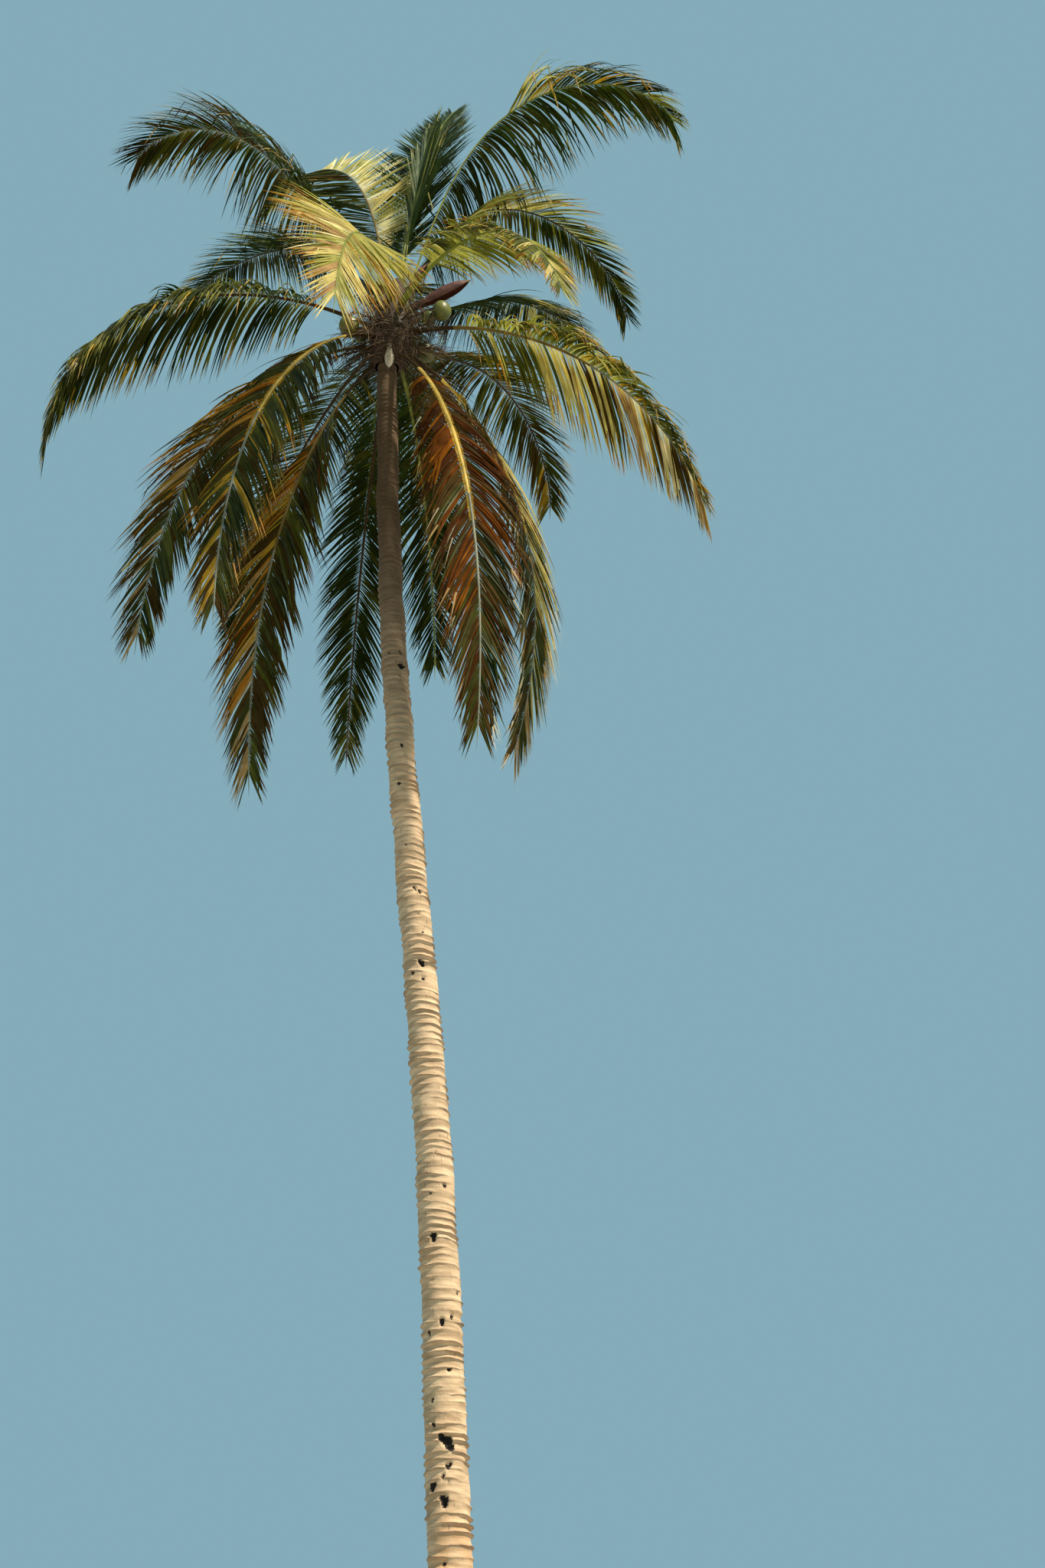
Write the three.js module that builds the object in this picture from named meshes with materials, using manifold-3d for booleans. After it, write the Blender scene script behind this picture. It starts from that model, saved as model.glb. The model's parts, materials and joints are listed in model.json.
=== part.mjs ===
// A coconut palm that grows from level ground: a leaning, slightly bowed trunk,
// the heart of sheathing leaf bases on its top, the fronds, bunches of young nuts
// and the woody bracts of the flower stalks.
// Millimetres, +Z up. The origin is the middle of the trunk's flat foot.

import * as THREE from 'three';
import { mergeVertices } from 'three/addons/utils/BufferGeometryUtils.js';
import Module from 'manifold-3d';

const wasm = await Module();
wasm.setup();

// Trunk
const TRUNK_HEIGHT = 17300;
const FOOT_RADIUS = 217;
const NECK_RADIUS = 100;
const FLARE = 115;
const FLARE_HEIGHT = 420;
const TRUNK_SIDES = 24;
// Heights of the rings of corners: close together in the flare, then evenly spaced.
const FLARE_RINGS = [0, 90, 200, 340, 520, 760, 1100, 1600];
const EVEN_RINGS_FROM = 2400;
const RING_SPACING = 993;
const LAST_RING_BELOW_TOP = 400;
// How far the trunk's centre stands to the side, as height and offset.
const LEAN = [[0, 0], [4900, -230], [8400, -435], [13200, -900], [15100, -1030], [17300, -1120]];
const HEART_LEAN = 0.06;

// Heart, as height above the trunk's top and radius
const HEART = [[0, 104], [80, 150], [300, 186], [650, 182], [850, 160], [1050, 118], [1250, 70], [1330, 0]];
const HEART_SIDES = 16;

// Fronds
const GAP = 0.3;
const RIB_STEPS = 96;
const RIB_START = 120;
const RIB_START_SHARE = 0.7;
const RIB_SUNK = 130;
const BARE_STALK = 750;
const LEAFLET_PAIRS = 17;
const STALK_WIDTH = 62;
const STALK_DEPTH = 42;
const TIP_WIDTH = 15;
const TIP_DEPTH = 12;
// The stalk swells towards its foot by these, and the swelling fades over the reach.
const BASE_WIDTH = 50;
const BASE_DEPTH_SHARE = 0.4;
const BASE_REACH = 300;
// A frond that stands higher on the heart than this is young, and its stalk is thinner.
const YOUNG_HEIGHT = 900;
const YOUNG_SHARE = 0.6;
// The bare stalk's two rings, as shares of its length.
const BARE_RINGS = [0.2, 0.55];
const TIP_LEAF = 0.36;
const ROLL_REACH = 0.45;
// A frond that bends by more degrees than this is split, with at least this many
// stations kept inside the split and outside it.
const SPLIT_BEND = 75;
const SPLIT_SHARE = 0.5;
const INNER_STATIONS = 6;
const OUTER_STATIONS = 4;

// Leaflets
const LEAF_ANGLE_BASE = 68;
const LEAF_ANGLE_TIP = 26;
const TIP_STIFFNESS = 0.75;
const LEAF_STEPS = 8;
const LEAF_FILL = 0.8;
const LEAF_DEPTH = 14;
const LEAF_MARGIN = 5;
// Leaflet length along the blade: it starts at a share of the longest, is full after a
// share of the blade, and falls off to the tip from another.
const FIRST_LEAF_SHARE = 0.5;
const LEAF_FULL_AT = 0.3;
const LEAF_FALLS_AT = 0.4;
const LEAF_TIP_LOSS = 0.6;
const LEAF_FALL_POWER = 1.6;
// The faces of a leaflet that join it to its root; the rest lie further out.
const ROOT_FACES = 7;

const DEG = Math.PI / 180;
const MERGE_DISTANCE = 1e-3;

// Each frond, roughly from the youngest down: its name, the direction it leaves in
// (0 is +X, 90 is +Y), the rib's slope where it starts and where it ends, its length,
// how late it bends, how far it swings sideways, its height on the heart, its roll,
// how far its leaflets droop, their longest length, how far they lift from the blade,
// how wide they spread, and its colour.
const FRONDS = [
  ['frond_spear', 30, 88, 80, 2600, 1.0, 0, 1100, 0, 0.0, 1100, 0, 0.4, 0x5f7a35],
  ['frond_01', 71, 86, 57, 4800, 1.0, 0, 1020, 0, 0.05, 900, 10, 0.75, 0x2f4a22],
  ['frond_02', 92, 58, -16, 4300, 1.5, 0, 950, 0, 0.6, 750, 10, 0.9, 0x3c4a24],
  ['frond_03', 136, 80, -17, 4600, 2.5, -5, 950, -50, 0.3, 900, 0, 1.0, 0xaeab74],
  ['frond_04', -7, 76, -71, 5400, 2.8, 12, 920, -8, 2.2, 1150, 0, 1.0, 0x44481f],
  ['frond_05', 173, 61, -62, 4900, 4.8, -9, 920, 8, 1.6, 1150, 0, 1.0, 0x3b4022],
  ['frond_06', 35, 73, -74, 5200, 2.1, 10, 850, 0, 0.9, 850, 0, 1.0, 0x555426],
  ['frond_07', 137, 66, -6, 4900, 1.4, 0, 750, 0, 0.8, 900, 0, 1.0, 0x36432a],
  ['frond_08', 98, 45, -50, 4600, 1.2, 0, 820, 0, 0.9, 850, 0, 1.0, 0x3c4522],
  ['frond_09', -57, 21, -72, 4100, 0.7, 4, 790, 0, 1.0, 850, 0, 1.0, 0x8f8a3f],
  ['frond_10', -97, -6, -82, 4000, 1.15, 2, 870, -42, 0.6, 1200, 0, 1.0, 0xb0a866],
  ['frond_11', 84, 40, -60, 4500, 1.2, 0, 700, 0, 0.9, 850, 0, 1.0, 0x3a4324],
  ['frond_12', 48, 46, 0, 4400, 2.1, 12, 700, 0, 1.2, 800, -10, 1.0, 0x343d24],
  ['frond_13', 121, 7, -74, 4600, 1.4, 0, 550, 0, 1.0, 850, 0, 1.0, 0x5d5f28],
  ['frond_14', 198, 22, -90, 4800, 1.0, 0, 500, 5, 2.6, 1100, 0, 1.0, 0x424a25],
  ['frond_15', -15, 14, -75, 4700, 0.6, 0, 450, -22, 1.8, 1100, 0, 1.0, 0x8c8440],
  ['frond_16', 84, 15, -80, 4600, 1.2, 0, 500, 0, 0.9, 850, 0, 1.0, 0x3f4524],
  ['frond_17', 225, 5, -92, 5100, 0.36, 0, 350, -40, 1.3, 1050, 0, 0.78, 0x7c6430],
  ['frond_18', 60, 36, -95, 4500, 2.9, 5, 300, 0, 1.0, 900, 0, 1.0, 0x5b5526],
  ['frond_19', 12, -5, -104, 5400, 0.42, 0, 250, 40, 1.1, 1000, 0, 0.75, 0x776c3c],
  ['frond_20', 203, 5, -88, 5200, 0.39, 0, 250, -55, 1.1, 1000, 0, 0.8, 0x5e532b],
  ['frond_21', 100, -10, -88, 4800, 1.1, 0, 200, 0, 0.9, 750, 0, 1.0, 0x2b3322],
  ['frond_22', -44, -23, -93, 5600, 0.33, 0, 150, 40, 1.1, 1100, 0, 0.72, 0x8a4a22],
  ['frond_23', 179, -34, -94, 5400, 0.36, 0, 100, -65, 0.9, 1050, 0, 0.78, 0x7a5b2e],
].map(([name, azimuth, rise, fall, length, bend, swing, height, roll, droop, leaf, lift, spread, colour]) => (
  { name, azimuth, rise, fall, length, bend, swing, height, roll, droop, leaf, lift, spread, colour }
));

// Bunches of nuts: the direction, height and slope of the stalk, and each nut's distance
// along it, place across it, drop and radius.
const STALK_RADIUS = 20;
const STALK_SIDES = 6;
// A bunch stalk's radius along it, as shares of its length and of its radius.
const STALK_FORM = [[0, 1], [0.6, 0.8], [1, 0.5], [1, 0]];
const NUT_STRETCH = 1.18;
const NUT_SIDES = 10;
const NUT_ROWS = 7;
const BUNCHES = [
  { name: 'nuts_left', azimuth: 206, height: 440, rise: 0, nuts: [[490, 0, -20, 110], [330, -74, -30, 72]] },
  { name: 'nuts_young', azimuth: 214, height: 760, rise: 12, nuts: [
    [400, 0, -20, 46], [320, 48, -10, 42], [300, -46, 10, 40], [220, 12, 44, 38]] },
  { name: 'nuts_right', azimuth: -22, height: 640, rise: 8, nuts: [[600, 0, -90, 105], [420, 60, -60, 82]] },
  { name: 'nuts_back', azimuth: 30, height: 550, rise: -5, nuts: [[430, 0, -90, 105], [260, 0, -70, 70]] },
];

// Woody bracts: name, direction, height on the heart, distance from its middle, slope,
// length, widest radius and colour.
const BRACT_SIDES = 8;
// A bract's radius along it, as shares of its length and of its widest radius.
const BRACT_FORM = [[0, 0.45], [0.3, 0.6], [0.55, 1], [0.8, 0.8], [1, 0]];
const BRACTS = [
  ['bract_right', -12, 780, 110, 24, 840, 75, 0x6e3a26],
  ['bract_upper', -32, 930, 100, 50, 520, 50, 0x7c4428],
  ['bract_dry', -84, 250, 150, -80, 430, 46, 0xc9b79c],
].map(([name, azimuth, height, out, rise, length, radius, colour]) => (
  { name, azimuth, height, out, rise, length, radius, colour }
));

const BARK_COLOUR = 0xa08f7a;
const HEART_COLOUR = 0x5a4028;
const NUT_COLOUR = 0x7d8a35;
const DRY_ROUGHNESS = 0.85;
const LEAF_ROUGHNESS = 0.6;

function mix(a, b, t) {
  return a + (b - a) * t;
}

// A smooth curve through the points of a table, by their first values.
function smooth(table, x) {
  const last = table.length - 2;
  let i = 0;
  while (i < last && x > table[i + 1][0]) i += 1;
  const slope = (a, b) => (table[b][1] - table[a][1]) / (table[b][0] - table[a][0]);
  const [x0, y0] = table[i];
  const [x1, y1] = table[i + 1];
  const width = x1 - x0;
  const m0 = slope(Math.max(i - 1, 0), i + 1) * width;
  const m1 = slope(i, Math.min(i + 2, last + 1)) * width;
  const t = (x - x0) / width;
  const t2 = t * t;
  const t3 = t2 * t;
  return y0 * (2 * t3 - 3 * t2 + 1) + m0 * (t3 - 2 * t2 + t) + y1 * (3 * t2 - 2 * t3) + m1 * (t3 - t2);
}

// The middle of the trunk or heart at a height above the ground.
function centre(z) {
  const over = Math.max(z - TRUNK_HEIGHT, 0);
  const x = smooth(LEAN, Math.min(z, TRUNK_HEIGHT)) + HEART_LEAN * over;
  return new THREE.Vector3(x, 0, z);
}

function trunkRadius(z) {
  return mix(FOOT_RADIUS, NECK_RADIUS, z / TRUNK_HEIGHT) + FLARE * Math.exp(-z / FLARE_HEIGHT);
}

// A turned form whose axis follows the trunk's lean.
function leaningLathe(profile, sides) {
  const outline = profile.map(([radius, z]) => new THREE.Vector2(radius, z));
  const turned = new THREE.LatheGeometry(outline, sides);
  turned.rotateX(Math.PI / 2);
  const place = turned.getAttribute('position');
  for (let i = 0; i < place.count; i += 1) {
    const z = place.getZ(i);
    place.setX(i, place.getX(i) + centre(z).x);
  }
  return closed(turned);
}

// A geometry of plain joined positions.
function closed(geometry) {
  geometry.deleteAttribute('normal');
  geometry.deleteAttribute('uv');
  return mergeVertices(geometry, MERGE_DISTANCE);
}

function trunkGeometry() {
  const profile = [[0, 0]];
  const heights = [...FLARE_RINGS];
  const last = TRUNK_HEIGHT - LAST_RING_BELOW_TOP;
  for (let z = EVEN_RINGS_FROM; z < last; z += RING_SPACING) heights.push(z);
  heights.push(TRUNK_HEIGHT);
  heights.forEach((z) => profile.push([trunkRadius(z), z]));
  profile.push([0, TRUNK_HEIGHT]);
  return leaningLathe(profile, TRUNK_SIDES);
}

function heartGeometry(grow) {
  const bottom = TRUNK_HEIGHT + GAP;
  const profile = [[0, bottom - grow]];
  HEART.forEach(([z, radius], i) => {
    const onAxis = i === HEART.length - 1;
    const lift = i === 0 ? -grow : 0;
    profile.push([onAxis ? 0 : radius + grow, bottom + z + (onAxis ? grow : lift)]);
  });
  return leaningLathe(profile, HEART_SIDES);
}

// The rib of a frond: points, their tangent, the blade's side and its upper face.
function ribFrames(frond) {
  const frames = [];
  const step = frond.length / RIB_STEPS;
  const out = new THREE.Vector3(Math.cos(frond.azimuth * DEG), Math.sin(frond.azimuth * DEG), 0);
  const start = Math.min(RIB_START, RIB_START_SHARE * smooth(HEART, frond.height));
  const point = centre(TRUNK_HEIGHT + frond.height).addScaledVector(out, start);
  for (let k = 0; k <= RIB_STEPS; k += 1) {
    const s = k / RIB_STEPS;
    frames.push({ s, point: point.clone(), ...ribAxes(frond, s) });
    const ahead = ribAxes(frond, s + 0.5 / RIB_STEPS).tangent;
    point.addScaledVector(ahead, step);
  }
  return frames;
}

function ribAxes(frond, s) {
  const slope = mix(frond.rise, frond.fall, s ** frond.bend) * DEG;
  const azimuth = (frond.azimuth + frond.swing * s * s) * DEG;
  const tangent = new THREE.Vector3(
    Math.cos(slope) * Math.cos(azimuth),
    Math.cos(slope) * Math.sin(azimuth),
    Math.sin(slope),
  );
  const roll = frond.roll * DEG * Math.sin((Math.PI / 2) * Math.min(1, s / ROLL_REACH));
  const side = new THREE.Vector3(-Math.sin(azimuth), Math.cos(azimuth), 0).applyAxisAngle(tangent, roll);
  const up = tangent.clone().cross(side);
  return { tangent, side, up };
}

// The frame at a distance along the rib; a distance below 0 runs back into the heart.
function frameAt(frond, frames, distance) {
  const step = frond.length / RIB_STEPS;
  if (distance <= 0) {
    const first = frames[0];
    return { ...first, point: first.point.clone().addScaledVector(first.tangent, distance) };
  }
  const k = Math.min(Math.floor(distance / step), RIB_STEPS - 1);
  const t = distance / step - k;
  const s = distance / frond.length;
  return { s, point: frames[k].point.clone().lerp(frames[k + 1].point, t), ...ribAxes(frond, s) };
}

function ribSize(frond, distance) {
  const along = Math.max(distance, 0);
  const s = along / frond.length;
  const base = Math.exp(-along / BASE_REACH);
  const share = mix(frond.height > YOUNG_HEIGHT ? YOUNG_SHARE : 1, 1, s);
  return {
    width: (mix(STALK_WIDTH, TIP_WIDTH, Math.sqrt(s)) + BASE_WIDTH * base) * share,
    depth: (mix(STALK_DEPTH, TIP_DEPTH, Math.sqrt(s)) + BASE_DEPTH_SHARE * BASE_WIDTH * base) * share,
  };
}

// The four corners of the rib where it stands in a frame:
// right top, left top, left bottom, right bottom.
function ribRing(frond, frame, distance) {
  const { width, depth } = ribSize(frond, distance);
  const corner = (a, b) => frame.point.clone()
    .addScaledVector(frame.side, (a * width) / 2)
    .addScaledVector(frame.up, (b * depth) / 2);
  return [corner(1, 1), corner(-1, 1), corner(-1, -1), corner(1, -1)];
}

// Leaflet length along the blade, as a share of the longest.
function leafShare(f) {
  if (f < LEAF_FALLS_AT) {
    return mix(FIRST_LEAF_SHARE, 1, Math.sin((Math.PI / 2) * Math.min(1, f / LEAF_FULL_AT)));
  }
  return 1 - LEAF_TIP_LOSS * ((f - LEAF_FALLS_AT) / (1 - LEAF_FALLS_AT)) ** LEAF_FALL_POWER;
}

// The middle line of a leaflet at half and at full length, and its way at half length.
function leafLine(frond, frame, f, sign, root) {
  const angle = frond.spread * mix(LEAF_ANGLE_BASE, LEAF_ANGLE_TIP, f) * DEG;
  const lift = frond.lift * DEG;
  const start = frame.tangent.clone().multiplyScalar(Math.cos(angle))
    .addScaledVector(frame.side, Math.sin(angle) * Math.cos(lift) * sign)
    .addScaledVector(frame.up, Math.sin(angle) * Math.sin(lift));
  const length = frond.leaf * leafShare(f);
  const point = root.clone();
  const line = {};
  for (let k = 0; k < LEAF_STEPS; k += 1) {
    const u = (k + 0.5) / LEAF_STEPS;
    const way = start.clone();
    way.z -= frond.droop * (1 - TIP_STIFFNESS * f * f) * u;
    way.normalize();
    point.addScaledVector(way, length / LEAF_STEPS);
    if (k === LEAF_STEPS / 2 - 1) {
      line.middle = point.clone();
      line.way = way;
    }
  }
  line.tip = point;
  return line;
}

// The four added corners of a leaflet: ridge, front edge, back edge and tip.
function leafCorners(frond, frame, f, sign, root, pitch, grow) {
  const { middle, way, tip } = leafLine(frond, frame, f, sign, root);
  const front = frame.tangent.clone().addScaledVector(way, -frame.tangent.dot(way)).normalize();
  const face = way.clone().cross(front).multiplyScalar(-sign);
  const half = 0.5 * LEAF_FILL * pitch * Math.abs(front.dot(frame.tangent)) + grow;
  return [
    middle.clone().addScaledVector(face, LEAF_DEPTH / 2 + grow),
    middle.clone().addScaledVector(front, half).addScaledVector(face, -LEAF_DEPTH / 2 - grow),
    middle.clone().addScaledVector(front, -half).addScaledVector(face, -LEAF_DEPTH / 2 - grow),
    tip.clone().addScaledVector(way, grow),
  ];
}

// The faces of a leaflet over its root's corners (top back, top front, bottom front,
// bottom back) and its added corners.
function leafFaces([a, b, c, d], [ridge, front, back, tip]) {
  return [
    [a, b, ridge], [b, front, ridge], [b, c, front], [c, back, front], [c, d, back],
    [d, ridge, back], [d, a, ridge], [ridge, front, tip], [front, back, tip], [back, ridge, tip],
  ];
}

// What a new leaflet must keep clear of: the edges and triangles of all that is placed.
const placed = [];
const RIB = 0;

function triangleSet(triangles, owner, place) {
  const box = new THREE.Box3();
  triangles.forEach((corners) => corners.forEach((corner) => box.expandByPoint(corner)));
  return { triangles, box, owner, place, rib: place === RIB };
}

function trianglesOf(geometry) {
  const place = geometry.getAttribute('position');
  const order = geometry.getIndex();
  const corner = (i) => new THREE.Vector3().fromBufferAttribute(place, order.getX(i));
  const triangles = [];
  for (let i = 0; i < order.count; i += 3) triangles.push([corner(i), corner(i + 1), corner(i + 2)]);
  return triangles;
}

const ray = new THREE.Ray();
const hit = new THREE.Vector3();

function edgePierces(from, to, triangle) {
  ray.origin.copy(from);
  ray.direction.copy(to).sub(from);
  const length = ray.direction.length();
  ray.direction.divideScalar(length);
  if (!ray.intersectTriangle(triangle[0], triangle[1], triangle[2], false, hit)) return false;
  return hit.distanceTo(from) <= length;
}

function pierces(first, second) {
  return first.some((a) => second.some((b) => (
    edgePierces(a[0], a[1], b) || edgePierces(a[1], a[2], b) || edgePierces(a[2], a[0], b)
  )));
}

function meets(set, others) {
  return others.some((other) => (
    set.box.intersectsBox(other.box)
    && (pierces(set.triangles, other.triangles) || pierces(other.triangles, set.triangles))
  ));
}

// Where a frond's rib has its rings: back in the heart, along the bare stalk, and
// between the leaflets.
function ribStations(frond) {
  const stations = [-RIB_SUNK, 0, ...BARE_RINGS.map((share) => BARE_STALK * share)];
  const blade = frond.length - BARE_STALK;
  for (let i = 0; i <= LEAFLET_PAIRS; i += 1) stations.push(BARE_STALK + (blade * i) / LEAFLET_PAIRS);
  return stations;
}

// The station where a frond that bends far is split: half way through its bend.
function splitStation(frond, stations) {
  if (Math.abs(frond.fall - frond.rise) <= SPLIT_BEND) return null;
  const bend = (distance) => (Math.max(distance, 0) / frond.length) ** frond.bend;
  const bent = stations.findIndex((distance) => bend(distance) >= SPLIT_SHARE);
  return Math.min(Math.max(bent, INNER_STATIONS), stations.length - OUTER_STATIONS);
}

function ribTriangles(rings) {
  const triangles = [];
  for (let i = 0; i + 1 < rings.length; i += 1) {
    for (let k = 0; k < 4; k += 1) {
      const [a, b] = [rings[i][k], rings[i][(k + 1) % 4]];
      const [c, d] = [rings[i + 1][(k + 1) % 4], rings[i + 1][k]];
      triangles.push([a, b, c], [a, c, d]);
    }
  }
  return triangles;
}

// Lays out a frond's rings and tip and puts its rib among what is placed.
function layRib(frond) {
  const frames = ribFrames(frond);
  const stations = ribStations(frond);
  const at = stations.map((distance) => frameAt(frond, frames, distance));
  const rings = stations.map((distance, i) => ribRing(frond, at[i], distance));
  const end = at[at.length - 1];
  const tip = end.point.clone().addScaledVector(end.tangent, TIP_LEAF * frond.leaf);
  const blade = rings.slice(2);
  placed.push(triangleSet(ribTriangles([...blade, [tip, tip, tip, tip]]), frond.name, RIB));
  return { frond, frames, stations, at, rings, tip };
}

// Chooses the leaflets of a frond that keep clear of everything placed before.
function layLeaflets(lay) {
  const { frond, frames, stations, rings } = lay;
  const first = stations.indexOf(BARE_STALK);
  const pitch = (frond.length - BARE_STALK) / LEAFLET_PAIRS;
  lay.leaflets = new Map();
  for (let i = first; i + 1 < stations.length; i += 1) {
    const distance = (stations[i] + stations[i + 1]) / 2;
    const frame = frameAt(frond, frames, distance);
    const f = (distance - BARE_STALK) / (frond.length - BARE_STALK);
    [1, -1].forEach((sign) => {
      const [top, bottom] = sign > 0 ? [0, 3] : [1, 2];
      const base = [rings[i][top], rings[i + 1][top], rings[i + 1][bottom], rings[i][bottom]];
      const root = new THREE.Vector3();
      base.forEach((corner) => root.addScaledVector(corner, 0.25));
      const shape = (grow) => leafCorners(frond, frame, f, sign, root, pitch, grow);
      const corners = shape(0);
      const place = i * sign;
      const near = (other) => other.owner === frond.name && (other.place < 0) === (place < 0)
        && Math.abs(Math.abs(other.place) - i) < 2;
      const others = placed.filter((other) => !near(other) && !(other.owner === frond.name && other.rib));
      const room = triangleSet(leafFaces(base, shape(LEAF_MARGIN)), frond.name, place);
      const outer = triangleSet(leafFaces(base, corners).slice(ROOT_FACES), frond.name, place);
      const neighbours = placed.filter((other) => near(other) && !other.rib);
      if (meets(room, others) || meets(outer, neighbours)) return;
      placed.push(triangleSet(leafFaces(base, corners), frond.name, place));
      lay.leaflets.set(place, corners);
    });
  }
}

// The closed skin of a frond from one station to another.
function frondGeometry(lay, from, to) {
  const points = [];
  const faces = [];
  const add = (point) => points.push(point) - 1;
  const ring = (i) => lay.rings[i].map(add);
  const last = lay.stations.length - 1;
  const startRing = from === 0 ? lay.rings[0] : lay.rings[from].map((corner) => (
    corner.clone().addScaledVector(lay.at[from].tangent, GAP)
  ));
  let back = startRing.map(add);
  faces.push([back[0], back[3], back[2]], [back[0], back[2], back[1]]);
  for (let i = from; i < to; i += 1) {
    const front = ring(i + 1);
    const quad = (a, b) => faces.push([back[a], front[a], front[b]], [back[a], front[b], back[b]]);
    quad(1, 0);
    quad(3, 2);
    [1, -1].forEach((sign) => {
      const [top, bottom] = sign > 0 ? [0, 3] : [1, 2];
      const corners = lay.leaflets.get(i * sign);
      const turn = ([a, b, c]) => faces.push(sign > 0 ? [a, b, c] : [a, c, b]);
      const [a, b, c, d] = [back[top], front[top], front[bottom], back[bottom]];
      if (corners) leafFaces([a, b, c, d], corners.map(add)).forEach(turn);
      else [[a, b, c], [a, c, d]].forEach(turn);
    });
    back = front;
  }
  if (to === last) {
    const tip = add(lay.tip);
    for (let k = 0; k < 4; k += 1) faces.push([back[k], back[(k + 1) % 4], tip]);
  } else {
    faces.push([back[0], back[1], back[2]], [back[0], back[2], back[3]]);
  }
  const geometry = new THREE.BufferGeometry().setFromPoints(points);
  geometry.setIndex(faces.flat());
  return geometry;
}

function solidOf(geometry) {
  return new wasm.Manifold(new wasm.Mesh({
    numProp: 3,
    vertProperties: Float32Array.from(geometry.getAttribute('position').array),
    triVerts: Uint32Array.from(geometry.getIndex().array),
  }));
}

function geometryOf(solid) {
  const mesh = solid.getMesh();
  const geometry = new THREE.BufferGeometry();
  geometry.setAttribute('position', new THREE.BufferAttribute(mesh.vertProperties, 3));
  geometry.setIndex(new THREE.BufferAttribute(mesh.triVerts, 1));
  return geometry;
}

const heartRoom = solidOf(heartGeometry(GAP));

// What is left of a form outside the heart.
function clearOfHeart(geometry) {
  const pieces = solidOf(geometry).subtract(heartRoom).decompose();
  pieces.sort((a, b) => b.volume() - a.volume());
  return geometryOf(pieces[0]);
}

// A straight round form along a direction. Its form gives a share of the radius for
// each share of the length.
function spindle(start, direction, length, form, radius, sides) {
  const outline = [new THREE.Vector2(0, 0)];
  form.forEach(([t, share]) => outline.push(new THREE.Vector2(share * radius, t * length)));
  const turned = closed(new THREE.LatheGeometry(outline, sides));
  turned.applyQuaternion(new THREE.Quaternion().setFromUnitVectors(new THREE.Vector3(0, 1, 0), direction));
  return turned.translate(start.x, start.y, start.z);
}

function directionOf(azimuth, rise) {
  return new THREE.Vector3(
    Math.cos(rise * DEG) * Math.cos(azimuth * DEG),
    Math.cos(rise * DEG) * Math.sin(azimuth * DEG),
    Math.sin(rise * DEG),
  );
}

function bunchGeometry({ azimuth, height, rise, nuts }) {
  const along = directionOf(azimuth, rise);
  const side = directionOf(azimuth + 90, 0);
  const start = centre(TRUNK_HEIGHT + height);
  let solid = solidOf(spindle(start, along, nuts[0][0], STALK_FORM, STALK_RADIUS, STALK_SIDES));
  nuts.forEach(([distance, across, drop, radius]) => {
    const nut = closed(new THREE.SphereGeometry(radius, NUT_SIDES, NUT_ROWS));
    nut.rotateX(Math.PI / 2);
    nut.scale(1, 1, NUT_STRETCH);
    const place = start.clone().addScaledVector(along, distance).addScaledVector(side, across);
    nut.translate(place.x, place.y, place.z + drop);
    solid = solid.add(solidOf(nut));
  });
  return clearOfHeart(geometryOf(solid));
}

function bractGeometry({ azimuth, height, out, rise, length, radius }) {
  const start = centre(TRUNK_HEIGHT + height).addScaledVector(directionOf(azimuth, 0), out);
  return clearOfHeart(spindle(start, directionOf(azimuth, rise), length, BRACT_FORM, radius, BRACT_SIDES));
}

const palm = new THREE.Group();

function addPart(name, geometry, colour, roughness) {
  const material = new THREE.MeshStandardMaterial({ color: colour, roughness, metalness: 0 });
  material.flatShading = true;
  const mesh = new THREE.Mesh(geometry, material);
  mesh.name = name;
  palm.add(mesh);
  placed.push(triangleSet(trianglesOf(geometry), name, RIB));
}

addPart('trunk', trunkGeometry(), BARK_COLOUR, DRY_ROUGHNESS);
addPart('heart', heartGeometry(0), HEART_COLOUR, DRY_ROUGHNESS);
BUNCHES.forEach((bunch) => addPart(bunch.name, bunchGeometry(bunch), NUT_COLOUR, LEAF_ROUGHNESS));
BRACTS.forEach((bract) => addPart(bract.name, bractGeometry(bract), bract.colour, DRY_ROUGHNESS));

const lays = FRONDS.map(layRib);
lays.forEach(layLeaflets);
lays.forEach((lay) => {
  const last = lay.stations.length - 1;
  const split = splitStation(lay.frond, lay.stations);
  const { name, colour } = lay.frond;
  const inner = clearOfHeart(frondGeometry(lay, 0, split ?? last));
  addPart(split ? `${name}_inner` : name, inner, colour, LEAF_ROUGHNESS);
  if (split) addPart(`${name}_outer`, frondGeometry(lay, split, last), colour, LEAF_ROUGHNESS);
});

export default palm;
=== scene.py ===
"""The looks of a tall coconut palm: its ringed trunk, leaf bases, fibre, ribs, leaflets,
nuts, flower stalks and bracts, grown by the same rules as the solids they stand for.

Metres, +Z up. The origin is the middle of the trunk's flat foot."""

import json
import math
from collections import namedtuple

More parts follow.
